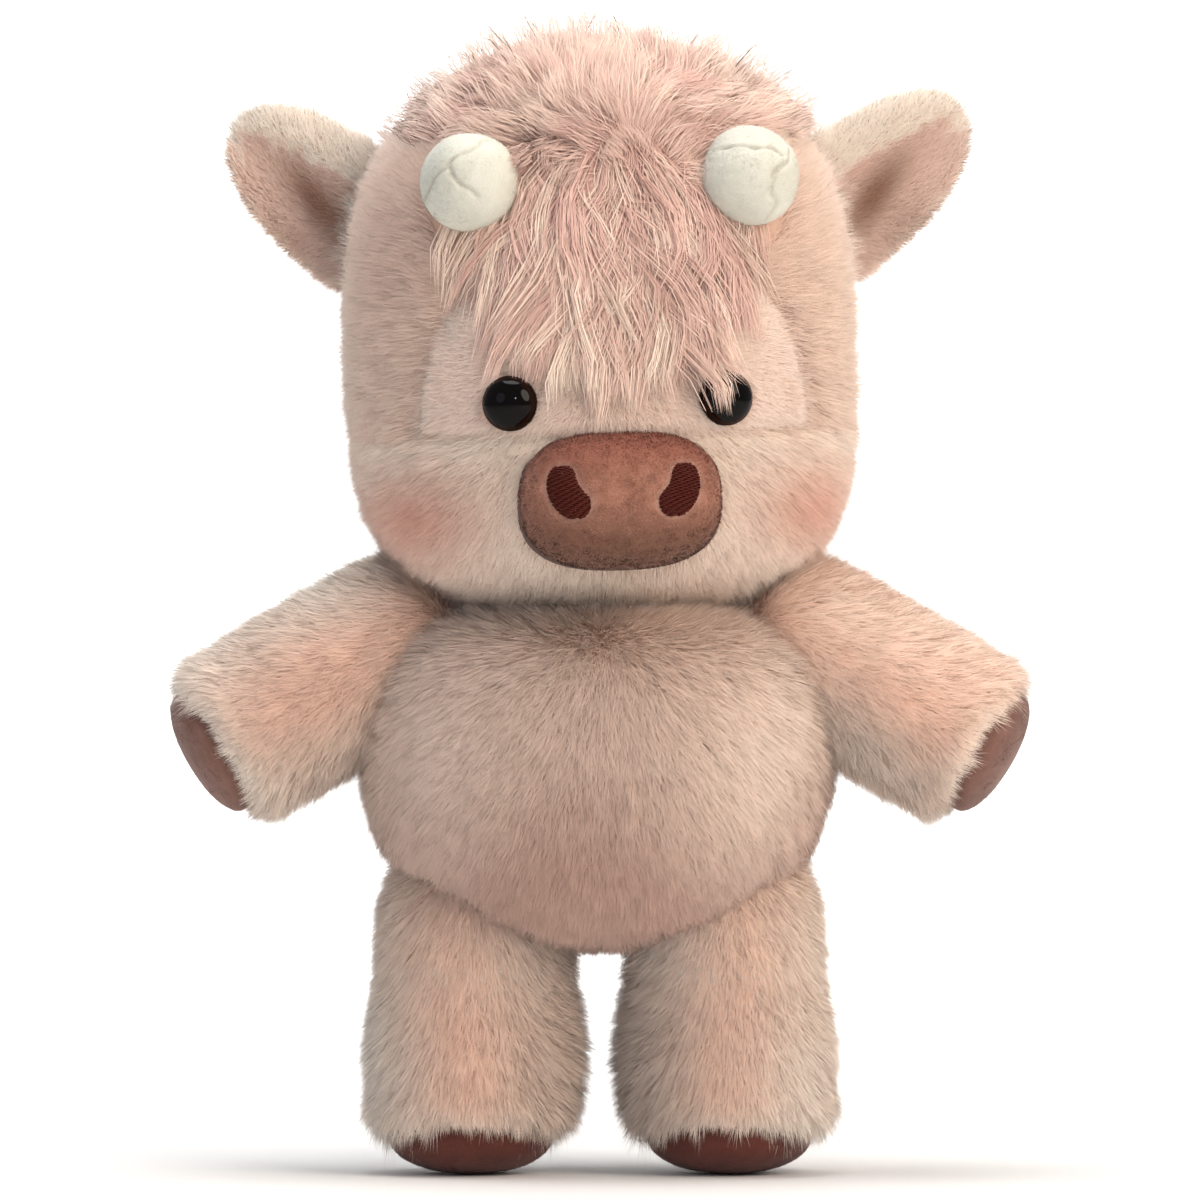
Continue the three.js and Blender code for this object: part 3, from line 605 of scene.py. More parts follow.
def fur(name, skin, material, place, body, slot, length, flow, lean=57, over=6.2, under=4.2,
        width=0.19, rows=2, seed=1, **rules):
    """Long pile in two coats: a short wide one that fills it, and a long fine one over that."""
    coats = {
        "undercoat": dict(per_mm2=under, length=lambda root: at_each(length, root) * 0.78, width=0.26,
                          lean=lambda root: at_each(lean, root) - 5, rows=2, gather=0, ruffle=26, swirl=6),
        "pile": dict(per_mm2=over, length=length, lean=lean, width=width, rows=rows),
    }
    for number, (kind, shape) in enumerate(coats.items()):
        grown = pile(f"{name}_{kind}", skin, material, flow=flow, seed=seed + 100 * number,
                     **{**shape, **rules})
        dress(grown, place, body, slot)


# %% [markdown]
# ## Body
# Two halves of plush are sewn down the chest and the back. The pile fans out from the top of the
# chest seam, turns down over the belly, and hangs straight down behind.

# %% How the body is brushed and tinted
def body_flow(root):
    x, y, z = root.T
    front = smooth(25, -25, y)
    fan = np.stack([x * 1.1, 0 * x - 14, -(44 - z) * 0.7 - 18], 1)
    back = np.stack([x * 0.3, 0 * x, 0 * x - 40], 1)
    return fan * front[:, None] + back * (1 - front[:, None])


# A random tone, and painted shade towards the bottom
def body_tone_and_low_shade(root):
    return 0.15 + 0.25 * slow_wave(root, 60, 5) + 0.8 * smooth(12, -32, root[:, 2])


def body_shade(root):
    """How much painted shade the fur gets: a little on the flanks, and more low in front on the right."""
    x, y, z = root.T
    return 0.13 * smooth(36, 54, np.abs(x)) + 0.3 * smooth(-6, -34, x) * smooth(-8, -32, z) * (y < 10)


def body_lean(root):
    return 57 - 30 * smooth(43, 46, root[:, 2])


def under_head(root):
    x, y, z = root.T
    return (z > BODY["rise"] - 8) & (np.hypot(x, y) < 20)


# %% Body
body_skin = ball("body_skin", 128, 88)
set_points(body_skin.data, onto_form(BODY, points_of(body_skin.data)))
sink(body_skin.data, PILE_DEPTH)
body_skin.data.materials.append(backing)
places = points_of(body_skin.data)
# The flanks are drawn in a little at the waist and towards the hips
waist = np.where(places[:, 0] > 0, 2.8, 1.2) * np.exp(-(((places[:, 2] + 9) / 14) ** 2))
waist += 2.2 * smooth(-15, -30, places[:, 2])
sink(body_skin.data, waist * smooth(20, 50, np.abs(places[:, 0])))
for side in (RIGHT, LEFT):
    fur(f"body_{HANDS[side]}", body_skin, body_pile, TORSO_PLACE, "torso", "cream_plush", 8.6, body_flow,
        lean=body_lean, tone=body_tone_and_low_shade, blush=body_shade, seed=10 + side,
        keep=lambda root, up, side=side: (root[:, 0] * side > 0) & ~under_head(root))
dress(body_skin, TORSO_PLACE, "torso", "cream_plush", "body_panel_left", "body_panel_right")

# %% [markdown]
# ## Head
# The head is one stuffed bag of four panels: a back, a short-pile mask round the eyes, a
# long-pile muzzle with round cheeks, and a mauve crown. Its skin is one form here, and each
# panel's pile is its own piece. The mask's pile is cut short, so its backing lies nearer the
# surface, and the seams round it pull the cloth in. That is what draws the arcs beside the eyes.

# %% Sizes of the face
SEAM = -28.5
MASK_HALF = (51, 52)
BROW = 13
FACE_BACK = -13
SNOUT = dict(width=54, height=37.5, power=2.6, drop=46.8, swell=8, deep=16)
EYES = dict(spacing=55.8, drop=21.5, radius=7.1, dome=4.6)
HORNS = dict(radius=13.4, height=15.5, spacing=71, rise=34, lean=20, pitch=52)
CHEEK = (48.5, -47.5)
print("the mask's seam runs", -SEAM, "mm under the middle of the head")


# %% Places on the face
def inside_mask(root):
    """How far inside the short-pile mask a place is, in millimetres, and below 0 outside."""
    x, y, z = root.T
    oval = (1 - np.hypot(x / MASK_HALF[0], (z - SEAM) / MASK_HALF[1])) * 45
    return np.where(y < FACE_BACK, np.minimum(oval, z - SEAM), -20)


def snout_share(x, z):
    """1 on the outline of the snout, and less inside it."""
    power = SNOUT["power"]
    across, along = np.abs(x) / (SNOUT["width"] / 2), np.abs(z + SNOUT["drop"]) / (SNOUT["height"] / 2)
    return (across**power + along**power) ** (1 / power)


def horn_place(side):
    x = side * HORNS["spacing"] / 2
    seat = moved(x, front_of(HEAD, x, HORNS["rise"]), HORNS["rise"])
    return seat @ turned(side * HORNS["lean"], "Y") @ turned(90 - HORNS["pitch"], "X")


def eye_place(side):
    x, z = EYES["spacing"] / 2, -EYES["drop"]
    reach = EYES["radius"]
    slope = (front_of(HEAD, x + reach, z) - front_of(HEAD, x - reach, z)) / (2 * reach)
    face = moved(side * x, front_of(HEAD, x, z), z)
    return face @ turned(side * math.degrees(math.atan(slope)), "Z") @ turned(90, "X")


# %% Where the horns and eyes leave no room for pile
def inside_horn(root):
    found = np.zeros(len(root), bool)
    for side in (RIGHT, LEFT):
        back = horn_place(side).inverted()
        local = root @ np.array(back.to_3x3()).T + np.array(back.translation)
        found |= (np.hypot(local[:, 0], local[:, 1]) < HORNS["radius"] - 1.5) & (local[:, 2] > -14)
    return found


def inside_eye(root):
    x, y, z = root.T
    reach = EYES["radius"] - 0.9
    return (np.hypot(np.abs(x) - EYES["spacing"] / 2, z + EYES["drop"]) < reach) & (y < 0)


# %% The head's skin
MASK_DEPTH = 2.0  # how far under the mean surface the short pile is rooted
head_skin = ball("head_skin", 208, 140)
outer = onto_form(HEAD, points_of(head_skin.data))
set_points(head_skin.data, outer)
inner = inside_mask(outer)
groove = 1.6 * np.exp(-((inner / 1.5) ** 2)) * (outer[:, 2] < BROW)
sink(head_skin.data, PILE_DEPTH + (MASK_DEPTH - PILE_DEPTH) * smooth(-1.5, 1.5, inner) + groove)
head_skin.data.materials.append(backing)

# %% [markdown]
# The pile is brushed away from the middle of the face: outward over the cheeks, back over the
# sides, down behind, and up over the crown, where it is longest and stands up in a rough tuft.

# %% How the head is brushed
def away_from_face(root):
    """Outward from the middle of the face, and downward behind."""
    outward = (root - np.array([0, -60, -24])) * np.array([1, 0.8, 1]) + np.array([0, 0, -22])
    behind = smooth(-8, 34, root[:, 1])[:, None]
    return outward * (1 - behind) + (root * [0.25, 0, 0] + [0, 24, -70]) * behind


def blush_share(root):
    """Where the cheeks are airbrushed."""
    x, y, z = root.T
    spot = ((np.abs(x) - CHEEK[0]) / 15) ** 2 + ((z - CHEEK[1]) / 12) ** 2
    return 0.75 * np.exp(-spot) * smooth(0, -14, y)


def crown_share(root):
    """1 on the crown, and less than a half beyond its ragged seam."""
    x, y, z = root.T
    ragged = 3 * slow_wave(root, 7, 66)
    over_brow = smooth(20, 40, z + ragged - 12 * smooth(18, 40, np.abs(x)))
    return over_brow * smooth(60, 44, np.abs(x) + ragged) * smooth(50, 15, y + 2 * ragged)


def head_length(root):
    x, y, z = root.T
    near_snout = smooth(1.55, 1.0, snout_share(x, z)) * (y < 0)
    return 8.4 - 3.2 * near_snout + 2.5 * smooth(-64, -71, z)


def head_lean(root):
    x, z = root[:, 0], root[:, 2]
    cheek = smooth(-26, -42, z) * smooth(30, 50, np.abs(x))
    temple = smooth(-30, -10, z) * smooth(30, 55, np.abs(x)) * np.where(x < 0, 7, -4)
    return 56 - 22 * smooth(-64, -71, z) - 8 * cheek - temple


def head_tone(root):
    return 0.2 + 0.25 * slow_wave(root, 55, 8)


def bare(root):
    """Where no pile grows: under the snout, the horns and the eyes, and at the neck."""
    x, y, z = root.T
    covered = (snout_share(x, z) < 0.93) & (y < 0)
    return covered | inside_horn(root) | inside_eye(root) | ((z < -66) & (np.hypot(x, y) < 20))


# %% The panels of long pile
def long_parts(part):
    return lambda root, up: part(root) & (inside_mask(root) < 0.4) & ~bare(root)


def on_muzzle(root):
    return (root[:, 2] < SEAM) & (root[:, 1] < FACE_BACK)


panels = {
    "muzzle": on_muzzle,
    "side_right": lambda root: (root[:, 0] < 0) & ~on_muzzle(root) & (crown_share(root) < 0.5),
    "side_left": lambda root: (root[:, 0] >= 0) & ~on_muzzle(root) & (crown_share(root) < 0.5),
}
for number, (name, part) in enumerate(panels.items()):
    fur(name, head_skin, pale_pile if name == "muzzle" else cream_pile, HEAD_PLACE, "head", "cream_plush",
        head_length, away_from_face, lean=head_lean, keep=long_parts(part), tone=head_tone,
        blush=blush_share, seed=20 + number)


# %% [markdown]
# Against the background the head has a halo of stray fibres, because some stand up out of the
# brushed coat. They are few, so they are grown as a thin coat of their own, and only on the rim.

# %% Stray fibres
def beside_face(root, up):
    """The rim of the head that the front sees against the background."""
    return (np.abs(root[:, 0]) > 42) & (root[:, 1] < 26) & (crown_share(root) < 0.5) & ~bare(root)


strays = pile("side_wisps", head_skin, cream_pile, 0.5, 9.2, 34, away_from_face, width=0.18, tuft=5,
              gather=0.5, ruffle=26, swirl=24, tone=0.35, blush=blush_share, seed=28, keep=beside_face)
dress(strays, HEAD_PLACE, "head", "cream_plush")

# %% [markdown]
# The crown's fur is long, mauve and never lies flat: it radiates from a whorl near its front,
# each tuft a little its own way, and single wisps stand out over it.

# %% The crown
def crown_flow(root):
    tousle = np.stack([slow_wave(root, 30, seed) for seed in (3, 4, 5)], 1)
    return root - np.array([3, -30, 36]) + 14 * tousle


def crown_length(root):
    x, z = root[:, 0], root[:, 2]
    seam = smooth(0.95, 0.5, crown_share(root))
    whorl = smooth(30, 0, np.abs(x)) * smooth(60, 70, z)
    beside_horn = smooth(21, 14, np.hypot(np.abs(x) - HORNS["spacing"] / 2, z - HORNS["rise"]))
    uneven = 4 * smooth(30, 50, x) - 3.5 * smooth(5, 25, x) - 5.5 * smooth(-8, -40, x)
    over_horn = 4 * beside_horn * (np.abs(x) < HORNS["spacing"] / 2)
    return (12 + 3 * slow_wave(root, 24, 7) - 3 * whorl + uneven + over_horn) * (1 - 0.4 * seam)


def crown_lean(root):
    return 44 + 18 * smooth(-5, 30, root[:, 1])


def crown_tone(root):
    """Mauve in the middle, and paler towards the seam."""
    return 0.25 + 0.45 * slow_wave(root, 18, 6) + 0.7 * smooth(0.85, 0.5, crown_share(root))


fur("crown", head_skin, mauve_pile, HEAD_PLACE, "head", "mauve_plush", crown_length, crown_flow,
    lean=crown_lean, over=3, under=5, width=0.23, rows=3, tone=crown_tone, tuft=6, gather=0.5,
    swirl=30, ruffle=22, seed=26, keep=lambda root, up: (crown_share(root) >= 0.5) & ~bare(root))

wisps = pile("crown_wisps", head_skin, mauve_pile, 0.35, lambda root: crown_length(root) + 5, 30,
             crown_flow, width=0.24, tuft=9, gather=0.55, ruffle=30, swirl=30, rows=4, tone=0.6, seed=27,
             keep=lambda root, up: (crown_share(root) >= 0.5) & (root[:, 2] > 45) & ~bare(root))
dress(wisps, HEAD_PLACE, "head", "mauve_plush")

# %% [markdown]
# The mask's pile is under half as long as the rest and is brushed the same way. So the face looks
# smooth round the eyes, and the longer pile beyond the seams frames it.

# %% The mask
mask = pile("mask_pile", head_skin, short_pile, 15, 3.6, 54, away_from_face, width=0.2, rows=2,
            gather=0, ruffle=16, swirl=8, tone=0.3, seed=30,
            keep=lambda root, up: (inside_mask(root) >= 0.4) & ~bare(root))
dress(mask, HEAD_PLACE, "head", "short_plush")

# %% [markdown]
# ### Forelock
# Long mauve fur falls from the crown between the horns to the top of the snout, with cream
# strands down its middle. Each lock is walked down the face: at every step it moves the way the
# lock hangs, and is set back to its height above the skin, so it lies on the brow as hair does.
# One more thin lock stands proud of the face, and falls across the inner half of the left eye.

# %% Walking down the face
def surface_of(obj):
    """A tree that finds places on an object's surface."""
    bm = bmesh.new()
    bm.from_mesh(obj.data)
    found = BVHTree.FromBMesh(bm)
    bm.free()
    return found


def walked(start, long, lift, proud, sway):
    """A hair's points from root to tip, and the way out of the cloth at its root."""
    here, points, ways_out = Vector(start), [], []
    last = len(sway) - 1
    for step, aside in enumerate(sway):
        spot, out, _, _ = brow_surface.find_nearest(here)
        share = step / last
        arch = math.sin(math.pi * (0.2 + share * 0.62))
        points.append(spot + out * (lift * arch - 1.5 * (1 - share) + proud * share**2))
        ways_out.append(out)
        down = Vector((aside, 0, -1))
        down -= out * down.dot(out)
        here = spot + down.normalized() * long / last
    return points, ways_out[0]


brow_surface = surface_of(head_skin)
LOCK = 45  # hairs in a lock
GATHERED = 0.7  # how far a lock's tips draw together


# %% The forelock
def forelock(name, count, seed, middle=0, wide=10.5, low=6, high=58, longer=0, proud=0, steps=6):
    """Hair rooted between two heights of the brow, and spread about the middle."""
    rng = np.random.default_rng(seed)
    x = middle + rng.normal(0, wide, count).clip(-2.4 * wide, 2.4 * wide)
    z = rng.uniform(low, high, count)
    place = np.stack([x, np.full(count, -55.0), z], 1)
    locks = rng.choice(count, count // LOCK, replace=False)
    group = nearest(place[locks], place)
    whim = rng.normal(size=(len(locks), 4))[group]
    reach = (z + 32 + longer - 1.15 * np.abs(x)).clip(12, 58)
    long = reach * (0.86 + 0.1 * whim[:, 0]).clip(0.6, 1.1) * rng.uniform(0.75, 1.05, count)
    spread = np.where(np.abs(x) < 6, -0.1, 0.5) * x / 24 + 0.34 * whim[:, 1]
    bend, phase = 0.7 + 0.3 * whim[:, 2], 2 * whim[:, 3]
    lift = rng.uniform(1.5, 6.5, count) + 0.8 * whim[:, 2] + 2.5 * np.exp(-((x / 14) ** 2))
    wild = 0.1 * rng.normal(size=count)
    share = np.arange(steps) / (steps - 1)
    waves = bend[:, None] * np.sin(5 * share + phase[:, None]) * 0.45
    sway = spread[:, None] * (1.3 - share) + waves + wild[:, None]
    paths, up = np.empty((count, steps, 3)), np.empty((count, 3))
    for at in range(count):
        paths[at], up[at] = walked(place[at], long[at], lift[at], proud, sway[at])
    paths += (paths[locks[group]] - paths) * (GATHERED * share**1.3)[None, :, None]
    paths += np.cumsum(rng.normal(0, 0.3, paths.shape), axis=1) * share[None, :, None]
    bright = (0.5 + 0.2 * rng.normal(size=count) + 0.12 * whim[:, 0]).clip(0, 1)
    cream = 0.4 * np.exp(-(((paths[:, -1, 0] + 2) / 8) ** 2))
    outer = 0.18 * smooth(18, 34, np.abs(paths[:, -1, 0]))
    faded = 0.45 * smooth(-6, -30, paths[:, -1, 2])
    pale = (rng.random(len(locks))[group] < 0.2 + cream + outer) * 0.8
    pale += 0.15 * rng.normal(size=count) + faded
    return ribbons(name, paths, up, 0.27, bright, pale.clip(0, 1), np.zeros(count), mauve_pile, 40, rng)


for number in range(2):
    dress(forelock(f"forelock_{number + 1}", 8800, 41 + number), HEAD_PLACE, "head", "mauve_plush")
lock = forelock("eye_lock", 190, 44, middle=15.8, wide=2.1, low=0, high=14, longer=21, proud=6.5)
dress(lock, HEAD_PLACE, "head", "mauve_plush")
dress(head_skin, HEAD_PLACE, "head", "cream_plush", "head_back", "eye_mask", "muzzle_panel", "crown_panel")

# %% [markdown]
# ## Spun pieces
# Eyes, horns, sleeves and pads are round about an axis. Each starts as a chain of points, half
# of its section, and one full spin closes it, as a potter's wheel would.

# %% Spinning a section
def even(profile, gap):
    """The same section with points no further apart than gap."""
    section = np.array(profile, float)
    reach = np.concatenate([[0], np.cumsum(np.linalg.norm(np.diff(section, axis=0), axis=1))])
    at = np.linspace(0, reach[-1], int(np.ceil(reach[-1] / gap)) + 1)
    return np.stack([np.interp(at, reach, section[:, k]) for k in (0, 1)], 1)


def spun(name, section, steps=72):
    bm = bmesh.new()
    chain = [bm.verts.new((radius, 0, height)) for radius, height in section]
    edges = [bm.edges.new(pair) for pair in zip(chain, chain[1:])]
    bmesh.ops.spin(bm, geom=chain + edges, cent=(0, 0, 0), axis=(0, 0, 1), angle=2 * math.pi,
                   steps=steps, use_merge=True)
    bmesh.ops.remove_doubles(bm, verts=bm.verts, dist=1e-4)
    bmesh.ops.recalc_face_normals(bm, faces=bm.faces)
    return finished(name, bm)


def arc(radius, rise, base, steps=16, power=2.0):
    """A quarter section from the rim up to the axis."""
    round_off = 2 / power
    curve = [(radius * math.cos(a) ** round_off, base + rise * math.sin(a) ** round_off)
             for a in np.linspace(0, np.pi / 2, steps)[:-1]]
    return [*curve, (0, base + rise)]


# %% [markdown]
# ### Eyes
# A plush eye is a domed button of clear acrylic, moulded over a black pupil and a thin brown
# ring, and its shank passes through the cloth to a lock washer. The dome is polished, so it
# mirrors the lamps. The ring shows only at its edge, so the colour follows the radius.

# %% Eyes
# Polished acrylic over black: deep, with one sharp mirror of each lamp
eye_acrylic, tree, shader = surface("polished_acrylic_eye", IOR=1.49)
reach = node(tree, "Attribute", attribute_name="radius").outputs["Fac"]
ring = node(tree, "ValToRGB", {0: reach})
ring.color_ramp.elements[0].color = linear("#050303")
ring.color_ramp.elements[1].color = linear("#150A06")
for place, code in ((0.8, "#060302"), (0.9, "#180B06"), (0.95, "#22120A")):
    ring.color_ramp.elements.new(place).color = linear(code)
tree.links.new(ring.outputs[0], shader.inputs["Base Color"])
edge = node(tree, "MapRange", {0: reach, 1: 0.86, 2: 0.97, 3: 0.06, 4: 0.55})
gloss = node(tree, "MapRange", {0: reach, 1: 0.86, 2: 0.97, 3: 0.14, 4: 0.03})
tree.links.new(edge.outputs[0], shader.inputs["Roughness"])
tree.links.new(gloss.outputs[0], shader.inputs["Specular IOR Level"])

for side in (RIGHT, LEFT):
    radius = EYES["radius"]
    section = [(0, -2.4), (radius - 0.8, -2.2), (radius, -1.6), *arc(radius, EYES["dome"], 0)]
    eye = spun(f"eye_button_{HANDS[side]}", even(section, 0.45))
    places = points_of(eye.data)
    keep_value(eye.data, "radius", np.hypot(places[:, 0], places[:, 1]) / radius)
    eye.data.materials.append(eye_acrylic)
    dress(eye, HEAD_PLACE @ eye_place(side), "head", "eye_plastic", f"eye_{HANDS[side]}")

# %% [markdown]
# ### Horns
# Each horn is a stuffed dome of ivory velboa. Its panels meet in seams that run together near
# the top, and the cloth puckers along them. They press shallow creases into the dome. Velboa's
# nap is too short to lie in tufts, so it is grown as single fibres, brushed a little downward.

# %% Nap as fibres
def fuzz(name, skin, material, place, body, slot, length=1.0, per_mm2=9, width=0.2, seed=50, **rules):
    """The nap that stands on a velboa piece, as single short fibres."""
    grown = pile(name, skin, material, per_mm2, length, 38,
                 lambda root: root * [1, 1, 0.3] + [0.1, 0.2, -3], width=width, tuft=2.5, gather=0.15,
                 ruffle=40, twist=30, seed=seed, **rules)
    return dress(grown, place, body, slot)


def nap_pile(name, code_deep, code_pale, vary=(0.7, 1.3)):
    return pile_material(name, code_deep, code_pale, code_deep, code_pale, vary=vary, **SHORT_NAP)


# %% The horns' seams
# Ivory fibres, a few of them bright, so that the dome looks soft and not like porcelain, and a grey
# for the painted shade low and outward on the right horn
horn_fibre = pile_material("velboa_ivory_fibre", "#C2C1B2", "#E4E2D6", "#C2C1B2", "#E4E2D6",
                           blush="#8B877C", vary=(0.82, 1.14), **SHORT_NAP)
# Each seam runs over the ball between two directions, seen from the front: across, up
SEAMS = {
    RIGHT: [((-0.5, 0.3), (0.5, 0.8)), ((-0.5, 0.3), (0.1, -0.3)), ((-0.5, 0.3), (-0.9, -0.3))],
    LEFT: [((0.4, -0.1), (0.75, 0.62)), ((0.4, -0.1), (0.3, -0.9)), ((-0.8, 0.45), (0.62, 0.4))],
}


def horn_seams(side, outward):
    """1 on a seam of the horn, and less beside it. outward is seen from the front."""
    depth = np.zeros(len(outward))
    for start, end in SEAMS[side]:
        a, b = (np.array([u, -math.sqrt(max(0, 1 - u * u - v * v)), v]) for u, v in (start, end))
        away = np.abs(outward @ unit(np.cross(a, b)) * HORNS["radius"] + 1.1 * slow_wave(outward, 0.6, 9))
        middle = unit(a + b)
        between = smooth(a @ middle - 0.05, a @ middle, outward @ middle)
        depth = np.maximum(depth, np.exp(-((away / 0.65) ** 2)) * between)
    return depth


# %% Horns
# Where shade is painted on the right horn
HORN_SHADE_SIDE = np.array([-0.75, -0.1, -0.65])  # low and outward on the right horn, seen from the front
for side in (RIGHT, LEFT):
    radius = HORNS["radius"] - 0.6
    middle = HORNS["height"] - HORNS["radius"]
    section = [(radius * math.cos(a), middle + radius * math.sin(a))
               for a in np.linspace(-np.pi / 2, np.pi / 2, 40)]
    section[0], section[-1] = (0, middle - radius), (0, middle + radius)
    horn = spun(f"horn_cloth_{HANDS[side]}", even(section, 0.5), 120)
    places = points_of(horn.data)
    turn = np.array(horn_place(side).to_3x3())
    outward = unit(places - [0, 0, middle]) @ turn.T
    seam = horn_seams(side, outward)
    pucker = 0.4 * slow_wave(places, 4, 50 + side) * smooth(0.0, 0.25, horn_seams(side, outward + 0.04))
    lumps = 0.3 * slow_wave(places, 15, 70 + side)
    set_points(horn.data, places - normals_of(horn.data) * (0.5 * seam + pucker + lumps)[:, None])
    # Painted shade in the creases of the seams
    keep_value(horn.data, "seam", seam * 0.5)
    horn.data.materials.append(horn_nap)
    place = HEAD_PLACE @ horn_place(side)
    # Painted shade, low and outward on the right horn only
    horn_shade_side = turn.T @ unit(HORN_SHADE_SIDE)
    deepest_horn_shade = 0.45 if side == RIGHT else 0
    fuzz(f"horn_nap_{HANDS[side]}", horn, horn_fibre, place, "head", "horn_velboa",
         blush=lambda root: deepest_horn_shade * smooth(0.2, 0.95, unit(root - [0, 0, middle]) @ horn_shade_side),
         keep=lambda root, up: root[:, 2] > -1, seed=50 + side)
    dress(horn, place, "head", "horn_velboa", f"horn_{HANDS[side]}", f"horn_fill_{HANDS[side]}")

# %% [markdown]
# ### Snout
# The snout is an oval patch of brown velboa, padded from behind, whose edge is turned under and
# sewn to the muzzle. It bellies out, dips round each embroidered nostril, and has a small nick in
# the middle of its lower edge. Its lower half is painted greyer and darker, for the shade there.

# %% The snout's form
NICK = dict(half=2.2, deep=0.8, up=1.3)  # in the middle of the lower edge
snout = ball("snout_cloth", 144, 96)
x, y, z = points_of(snout.data).T
climb, around = np.arcsin(np.clip(z, -1, 1)), np.arctan2(y, x)
spread = np.abs(np.cos(climb)) ** (2 / 3)
wide, tall = SNOUT["width"] / 2, SNOUT["height"] / 2
side_way = wide * spread * signed_power(np.cos(around), 2 / SNOUT["power"])
up_way = tall * spread * signed_power(np.sin(around), 2 / SNOUT["power"])
root_depth = front_of(HEAD, 0, -SNOUT["drop"]) + SNOUT["deep"]
deep = root_depth - (SNOUT["deep"] + SNOUT["swell"]) * signed_power(np.sin(climb), 2 / 3)
nick = np.exp(-((side_way / NICK["half"]) ** 2)) * smooth(-0.75, -1, up_way / tall) * (deep < root_depth)
places = np.stack([side_way, deep + NICK["deep"] * nick, up_way + NICK["up"] * nick - SNOUT["drop"]], 1)
set_points(snout.data, places)
sink(snout.data, 0.6)


# %% Where the nostrils lie
NOSTRIL = dict(width=10.2, height=14, lean=28, spacing=28, lift=2, hollow=0.45)


def nostril_outline(side, steps=48):
    """A kidney with its hollow side towards the middle of the snout."""
    angle = np.linspace(0, 2 * np.pi, steps, endpoint=False)
    from_hollow = (angle + np.pi) % (2 * np.pi) - np.pi
    hollow = 1 - NOSTRIL["hollow"] * np.exp(-(from_hollow**2) / 0.35)
    u = NOSTRIL["width"] / 2 * np.cos(angle) * hollow
    v = NOSTRIL["height"] / 2 * np.sin(angle)
    lean = math.radians(NOSTRIL["lean"])
    x = side * (NOSTRIL["spacing"] / 2 - u * math.cos(lean) + v * math.sin(lean))
    return np.stack([x, v * math.cos(lean) + u * math.sin(lean) + NOSTRIL["lift"] - SNOUT["drop"]], 1)


def distance_to(outline, x, z):
    gap = np.hypot(x[:, None] - outline[None, :, 0], z[:, None] - outline[None, :, 1])
    return gap.min(1)


# %% Marks on the snout
places = points_of(snout.data)
front = places[:, 1] < root_depth - 8
dip, halo = np.zeros(len(places)), np.zeros(len(places))
for side in (RIGHT, LEFT):
    outline = nostril_outline(side)
    near = distance_to(outline, places[:, 0], places[:, 2])
    dip += 0.7 * np.exp(-((near / 1.3) ** 2)) * front
    halo += np.exp(-((near / 1.1) ** 2)) * front
sink(snout.data, dip)
places = points_of(snout.data)
height = places[:, 2] + SNOUT["drop"]
# Painted shade on the lower half, and on the rim, where the seam's dark line is too
keep_value(snout.data, "lower", smooth(4, -14, height) * 0.85)
keep_value(snout.data, "upper", smooth(4, 15, height) * 0.85)
keep_value(snout.data, "halo", halo * 0.6)
keep_value(snout.data, "rim", smooth(0.955, 1.0, snout_share(places[:, 0], places[:, 2]) / 0.978) * 0.9)
snout.data.materials.append(snout_nap)

# %% The snout's nap
# Brown fibres from nearly black to nearly pink: the brightest are painted glints, where brushed
# velboa's ends would face the eye, and the lower half is painted greyer for its shade
snout_fibre = pile_material("velboa_brown_snout_fibre", "#74483A", "#CE9A86", "#673527", "#9F5842",
                            blush="#785748", vary=(0.5, 1.5), **SHORT_NAP)


def clear_of_nostrils(root, up):
    """The front of the snout without the nostrils' rims and middles, where stitches lie."""
    clear = root[:, 1] < root_depth - 8
    for side in (RIGHT, LEFT):
        up_from_middle = root[:, 2] + SNOUT["drop"] - NOSTRIL["lift"]
        to_middle = np.hypot(root[:, 0] - side * NOSTRIL["spacing"] / 2, up_from_middle * 0.75)
        to_rim = distance_to(nostril_outline(side), root[:, 0], root[:, 2])
        clear &= (to_rim > 0.3) & (to_middle >= 3.4)
    return clear


def snout_tone(root):
    """Redder above, in patches where the nap was stroked one way or the other."""
    above = smooth(2, 15, root[:, 2] + SNOUT["drop"])
    return above + 0.35 * slow_wave(root, 7, 52) + 0.5 * slow_wave(root, 2.4, 54)


def snout_shade(root):
    return 0.8 * smooth(2, -14, root[:, 2] + SNOUT["drop"]) + 0.2 * slow_wave(root, 5, 53)


fuzz("snout_nap", snout, snout_fibre, HEAD_PLACE, "head", "snout_velboa", length=1.15, width=0.27,
     keep=clear_of_nostrils, tone=snout_tone, blush=snout_shade)

# %% [markdown]
# ### Nostrils
# The nostrils are satin stitch: glossy rayon thread laid side by side across a kidney shape, each
# stitch bowed over the cloth between its two needle holes. Every stitch is one slim spindle.

# %% Thread
# Rayon floss in dark red, with a dull gloss, and a fine grain from nearly black to dark red
thread, tree, shader = surface("rayon_embroidery_thread", Roughness=0.55, IOR=1.52, Specular_IOR_Level=0.15)
place = node(tree, "TexCoord").outputs["Object"]
strands = node(tree, "TexNoise", {"Vector": place, "Scale": 1 / (0.35 * MM), "Detail": 2})
colours = {0: strands.outputs[0], 6: linear("#280804"), 7: linear("#5E1D11")}
colour = node(tree, "Mix", colours, data_type="RGBA")
tree.links.new(colour.outputs[2], shader.inputs["Base Color"])

# %% One stitch
STITCH_GAP = 0.36
STITCH_LENGTH = 2.4
STITCH_THICK = 0.26
snout_surface = surface_of(snout)


def on_snout(x, z):
    """The place on the snout that the front view shows at x and z, and the way out of it."""
    hit, out, _, _ = snout_surface.ray_cast(Vector((x, -100, z)), Vector((0, 1, 0)))
    return hit, out


